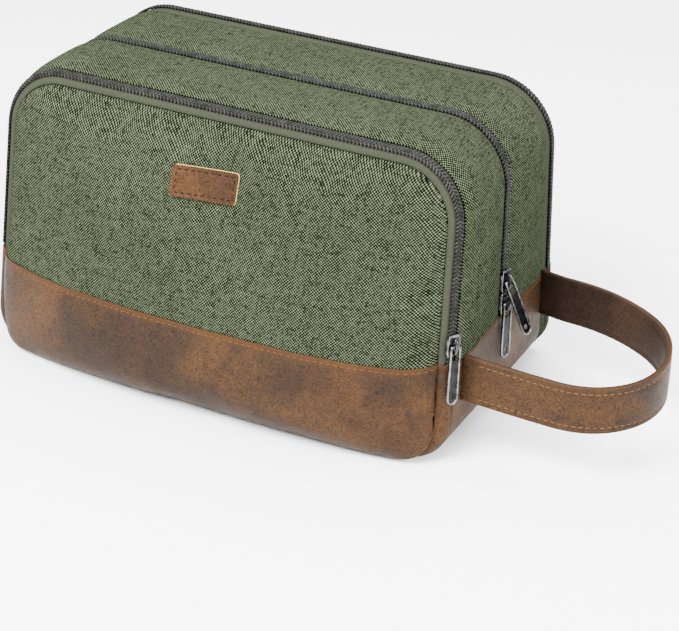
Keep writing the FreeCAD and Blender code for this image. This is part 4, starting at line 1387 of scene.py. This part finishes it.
# The patch's section, as (inset, lift), up its cut edge and over its face, pressed in along its stitches
LABEL_SECTION = ((0.0, -0.6), (0.0, 1.0), (0.3, 1.15), (1.4, 1.0), (2.2, 0.82), (3.0, 1.0), (4.6, 1.05))
LABEL_FLAT = 1.05
LABEL_STITCH_INSET = 2.2
LABEL_STITCH_LIFT = 0.85


def label_bed(points, centre, size):
    """The smooth face that the label bends to, over the panel's points under it.

    It is a function from x, z and a lift to a place and the face's outward direction there.
    """
    flat = points.reshape(-1, 3)
    beside = np.abs(flat[:, 0] - centre[0]) < size[0] / 2
    level = np.abs(flat[:, 2] - centre[1]) < size[1] / 2 + 1
    under = flat[beside & level]
    terms = np.column_stack([np.ones(len(under)), under[:, 0], under[:, 2], under[:, 0] ** 2])
    fit = np.linalg.lstsq(terms, under[:, 1], rcond=None)[0]
    clear = min(0.6, float((terms @ fit - under[:, 1]).max()))

    def laid(x, z, lift):
        normal = unit(np.array([fit[1] + 2 * fit[3] * x, -1.0, fit[2]]))
        y = fit @ np.array([1.0, x, z, x * x])
        return np.array([x, y, z]) + normal * (lift + clear), normal

    return laid


def label_edge(centre, size, inset):
    """The label's rounded outline, drawn in by an inset."""
    radius = 2.0 - min(inset, 1.2)
    right, top = size[0] / 2 - inset, size[1] / 2 - inset
    corners = [(-right, -top), (right, -top), (right, top), (-right, top)]
    arcs = corner_arcs(corners, [radius] * 4, 5)
    edge = []
    for k, arc in enumerate(arcs):
        edge += arc[:-1] + stretch(arc[-1], arcs[(k + 1) % 4][0], 14)
    return np.array(edge) + centre


def label(points):
    """A blank leather patch, with a pale cut edge and dark stitches, laid on the front panel."""
    low, high = (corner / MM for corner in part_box("label_patch"))
    centre = np.array([(low.x + high.x) / 2, (low.z + high.z) / 2]) + LABEL_SHIFT
    size = ((high.x - low.x) * LABEL_SCALE[0], (high.z - low.z) * LABEL_SCALE[1])
    laid = label_bed(points, centre, size)
    rings = [*LABEL_SECTION, (size[1] / 2 - 1.2, LABEL_FLAT)]
    rows = []
    for inset, lift in rings:
        rows.append([laid(x, z, lift)[0] for x, z in label_edge(centre, size, inset)])
    grid = np.array(rows)
    columns = grid.shape[1]
    faces = grid_faces(len(rings), columns, closed=True)
    faces.append(tuple(range((len(rings) - 1) * columns, len(rings) * columns)))
    obj = grid_object("label_leather_patch", grid.reshape(-1, 3), faces)
    obj.data.materials.append(LABEL_LOOK)
    obj.data.materials.append(CUT_EDGE_LOOK)
    slots = [1 if index < columns else 0 for index in range(len(faces))]
    obj.data.polygons.foreach_set("material_index", slots)
    dress(obj, LABEL_LOOK, ("label_patch",), body="front_flap")

    route = label_edge(centre, size, LABEL_STITCH_INSET)
    sewn = [laid(x, z, LABEL_STITCH_LIFT) for x, z in (*route, route[0])]
    thread = stitches("label_stitches", np.array([p for p, _ in sewn]), np.array([n for _, n in sewn]))
    dress(thread, DARK_THREAD, body="front_flap")


# ---- what stays as in the CAD model ----

def cad_looks():
    """Gives the CAD nodes that are shown their materials."""
    for name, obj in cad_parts.items():
        look = FOAM_LOOK if "padding" in name else INNER_LINING_LOOK
        obj.data.materials.clear()
        obj.data.materials.append(look)


# ---- floor, light and camera ----

def studio():
    """A pale floor and soft light."""
    floor_mesh = bpy.data.meshes.new("floor")
    edge = 6.0
    corners = [(-edge, -edge, 0), (edge, -edge, 0), (edge, edge, 0), (-edge, edge, 0)]
    floor_mesh.from_pydata(corners, [], [(0, 1, 2, 3)])
    floor = bpy.data.objects.new("floor", floor_mesh)
    bpy.context.scene.collection.objects.link(floor)
    material, _, shader = new_material("floor")
    shader.inputs["Base Color"].default_value = (0.93, 0.93, 0.93, 1)
    shader.inputs["Roughness"].default_value = 0.6
    floor_mesh.materials.append(material)

    world = bpy.data.worlds.new("studio")
    bpy.context.scene.world = world
    world.use_nodes = True
    world.node_tree.nodes["Background"].inputs[0].default_value = (1.0, 1.0, 1.0, 1)
    world.node_tree.nodes["Background"].inputs[1].default_value = 1.45
    add_light("key", (-0.3, -1.0, 1.3), size=0.9, power=160.0)
    add_light("top", (0.2, 0.4, 1.6), size=1.2, power=58.0)
    add_light("side", (1.4, -0.3, 0.9), size=0.8, power=62.0)


def add_light(name, place_at, size, power):
    lamp = bpy.data.lights.new(name, "AREA")
    lamp.size = size
    lamp.energy = power
    obj = bpy.data.objects.new(name, lamp)
    obj.location = place_at
    obj.rotation_mode = "QUATERNION"
    obj.rotation_quaternion = (Vector((0, 0, 0.08)) - Vector(place_at)).to_track_quat("-Z", "Y")
    bpy.context.scene.collection.objects.link(obj)


CAMERA_ANGLES = (26.041, 28.323, 1.782)
CAMERA_DISTANCE = 1.15538
CAMERA_LENS = 111.96
CAMERA_HEIGHT = 0.080
AIM_RIGHT = 0.0363
AIM_DOWN = 0.0533


def camera():
    """A long lens to the front and right, a little above. Its angles are azimuth, elevation and roll."""
    azimuth, elevation, roll = (math.radians(angle) for angle in CAMERA_ANGLES)
    back = Vector((math.sin(azimuth) * math.cos(elevation), -math.cos(azimuth) * math.cos(elevation),
                   math.sin(elevation)))
    level = Vector((0, 0, 1)).cross(back).normalized()
    upright = back.cross(level)
    right = level * math.cos(roll) + upright * math.sin(roll)
    up = upright * math.cos(roll) - level * math.sin(roll)
    target = Vector((0, 0, CAMERA_HEIGHT)) + right * AIM_RIGHT - up * AIM_DOWN
    data = bpy.data.cameras.new("camera")
    data.sensor_width = 36.0
    data.lens = CAMERA_LENS
    data.clip_start = 0.05
    obj = bpy.data.objects.new("camera", data)
    place_at = target + back * CAMERA_DISTANCE
    obj.matrix_world = Matrix((
        (right.x, up.x, back.x, place_at.x),
        (right.y, up.y, back.y, place_at.y),
        (right.z, up.z, back.z, place_at.z),
        (0, 0, 0, 1)))
    bpy.context.scene.collection.objects.link(obj)
    bpy.context.scene.camera = obj


camera()
studio()
cad_looks()
panel, front_pressed = front_panel()
rear_pressed = rear_panel()
panel_insides(front_pressed, rear_pressed)
dividers()
gusset()
base()
bands()
zips()
hardware()
strap()
label(panel)
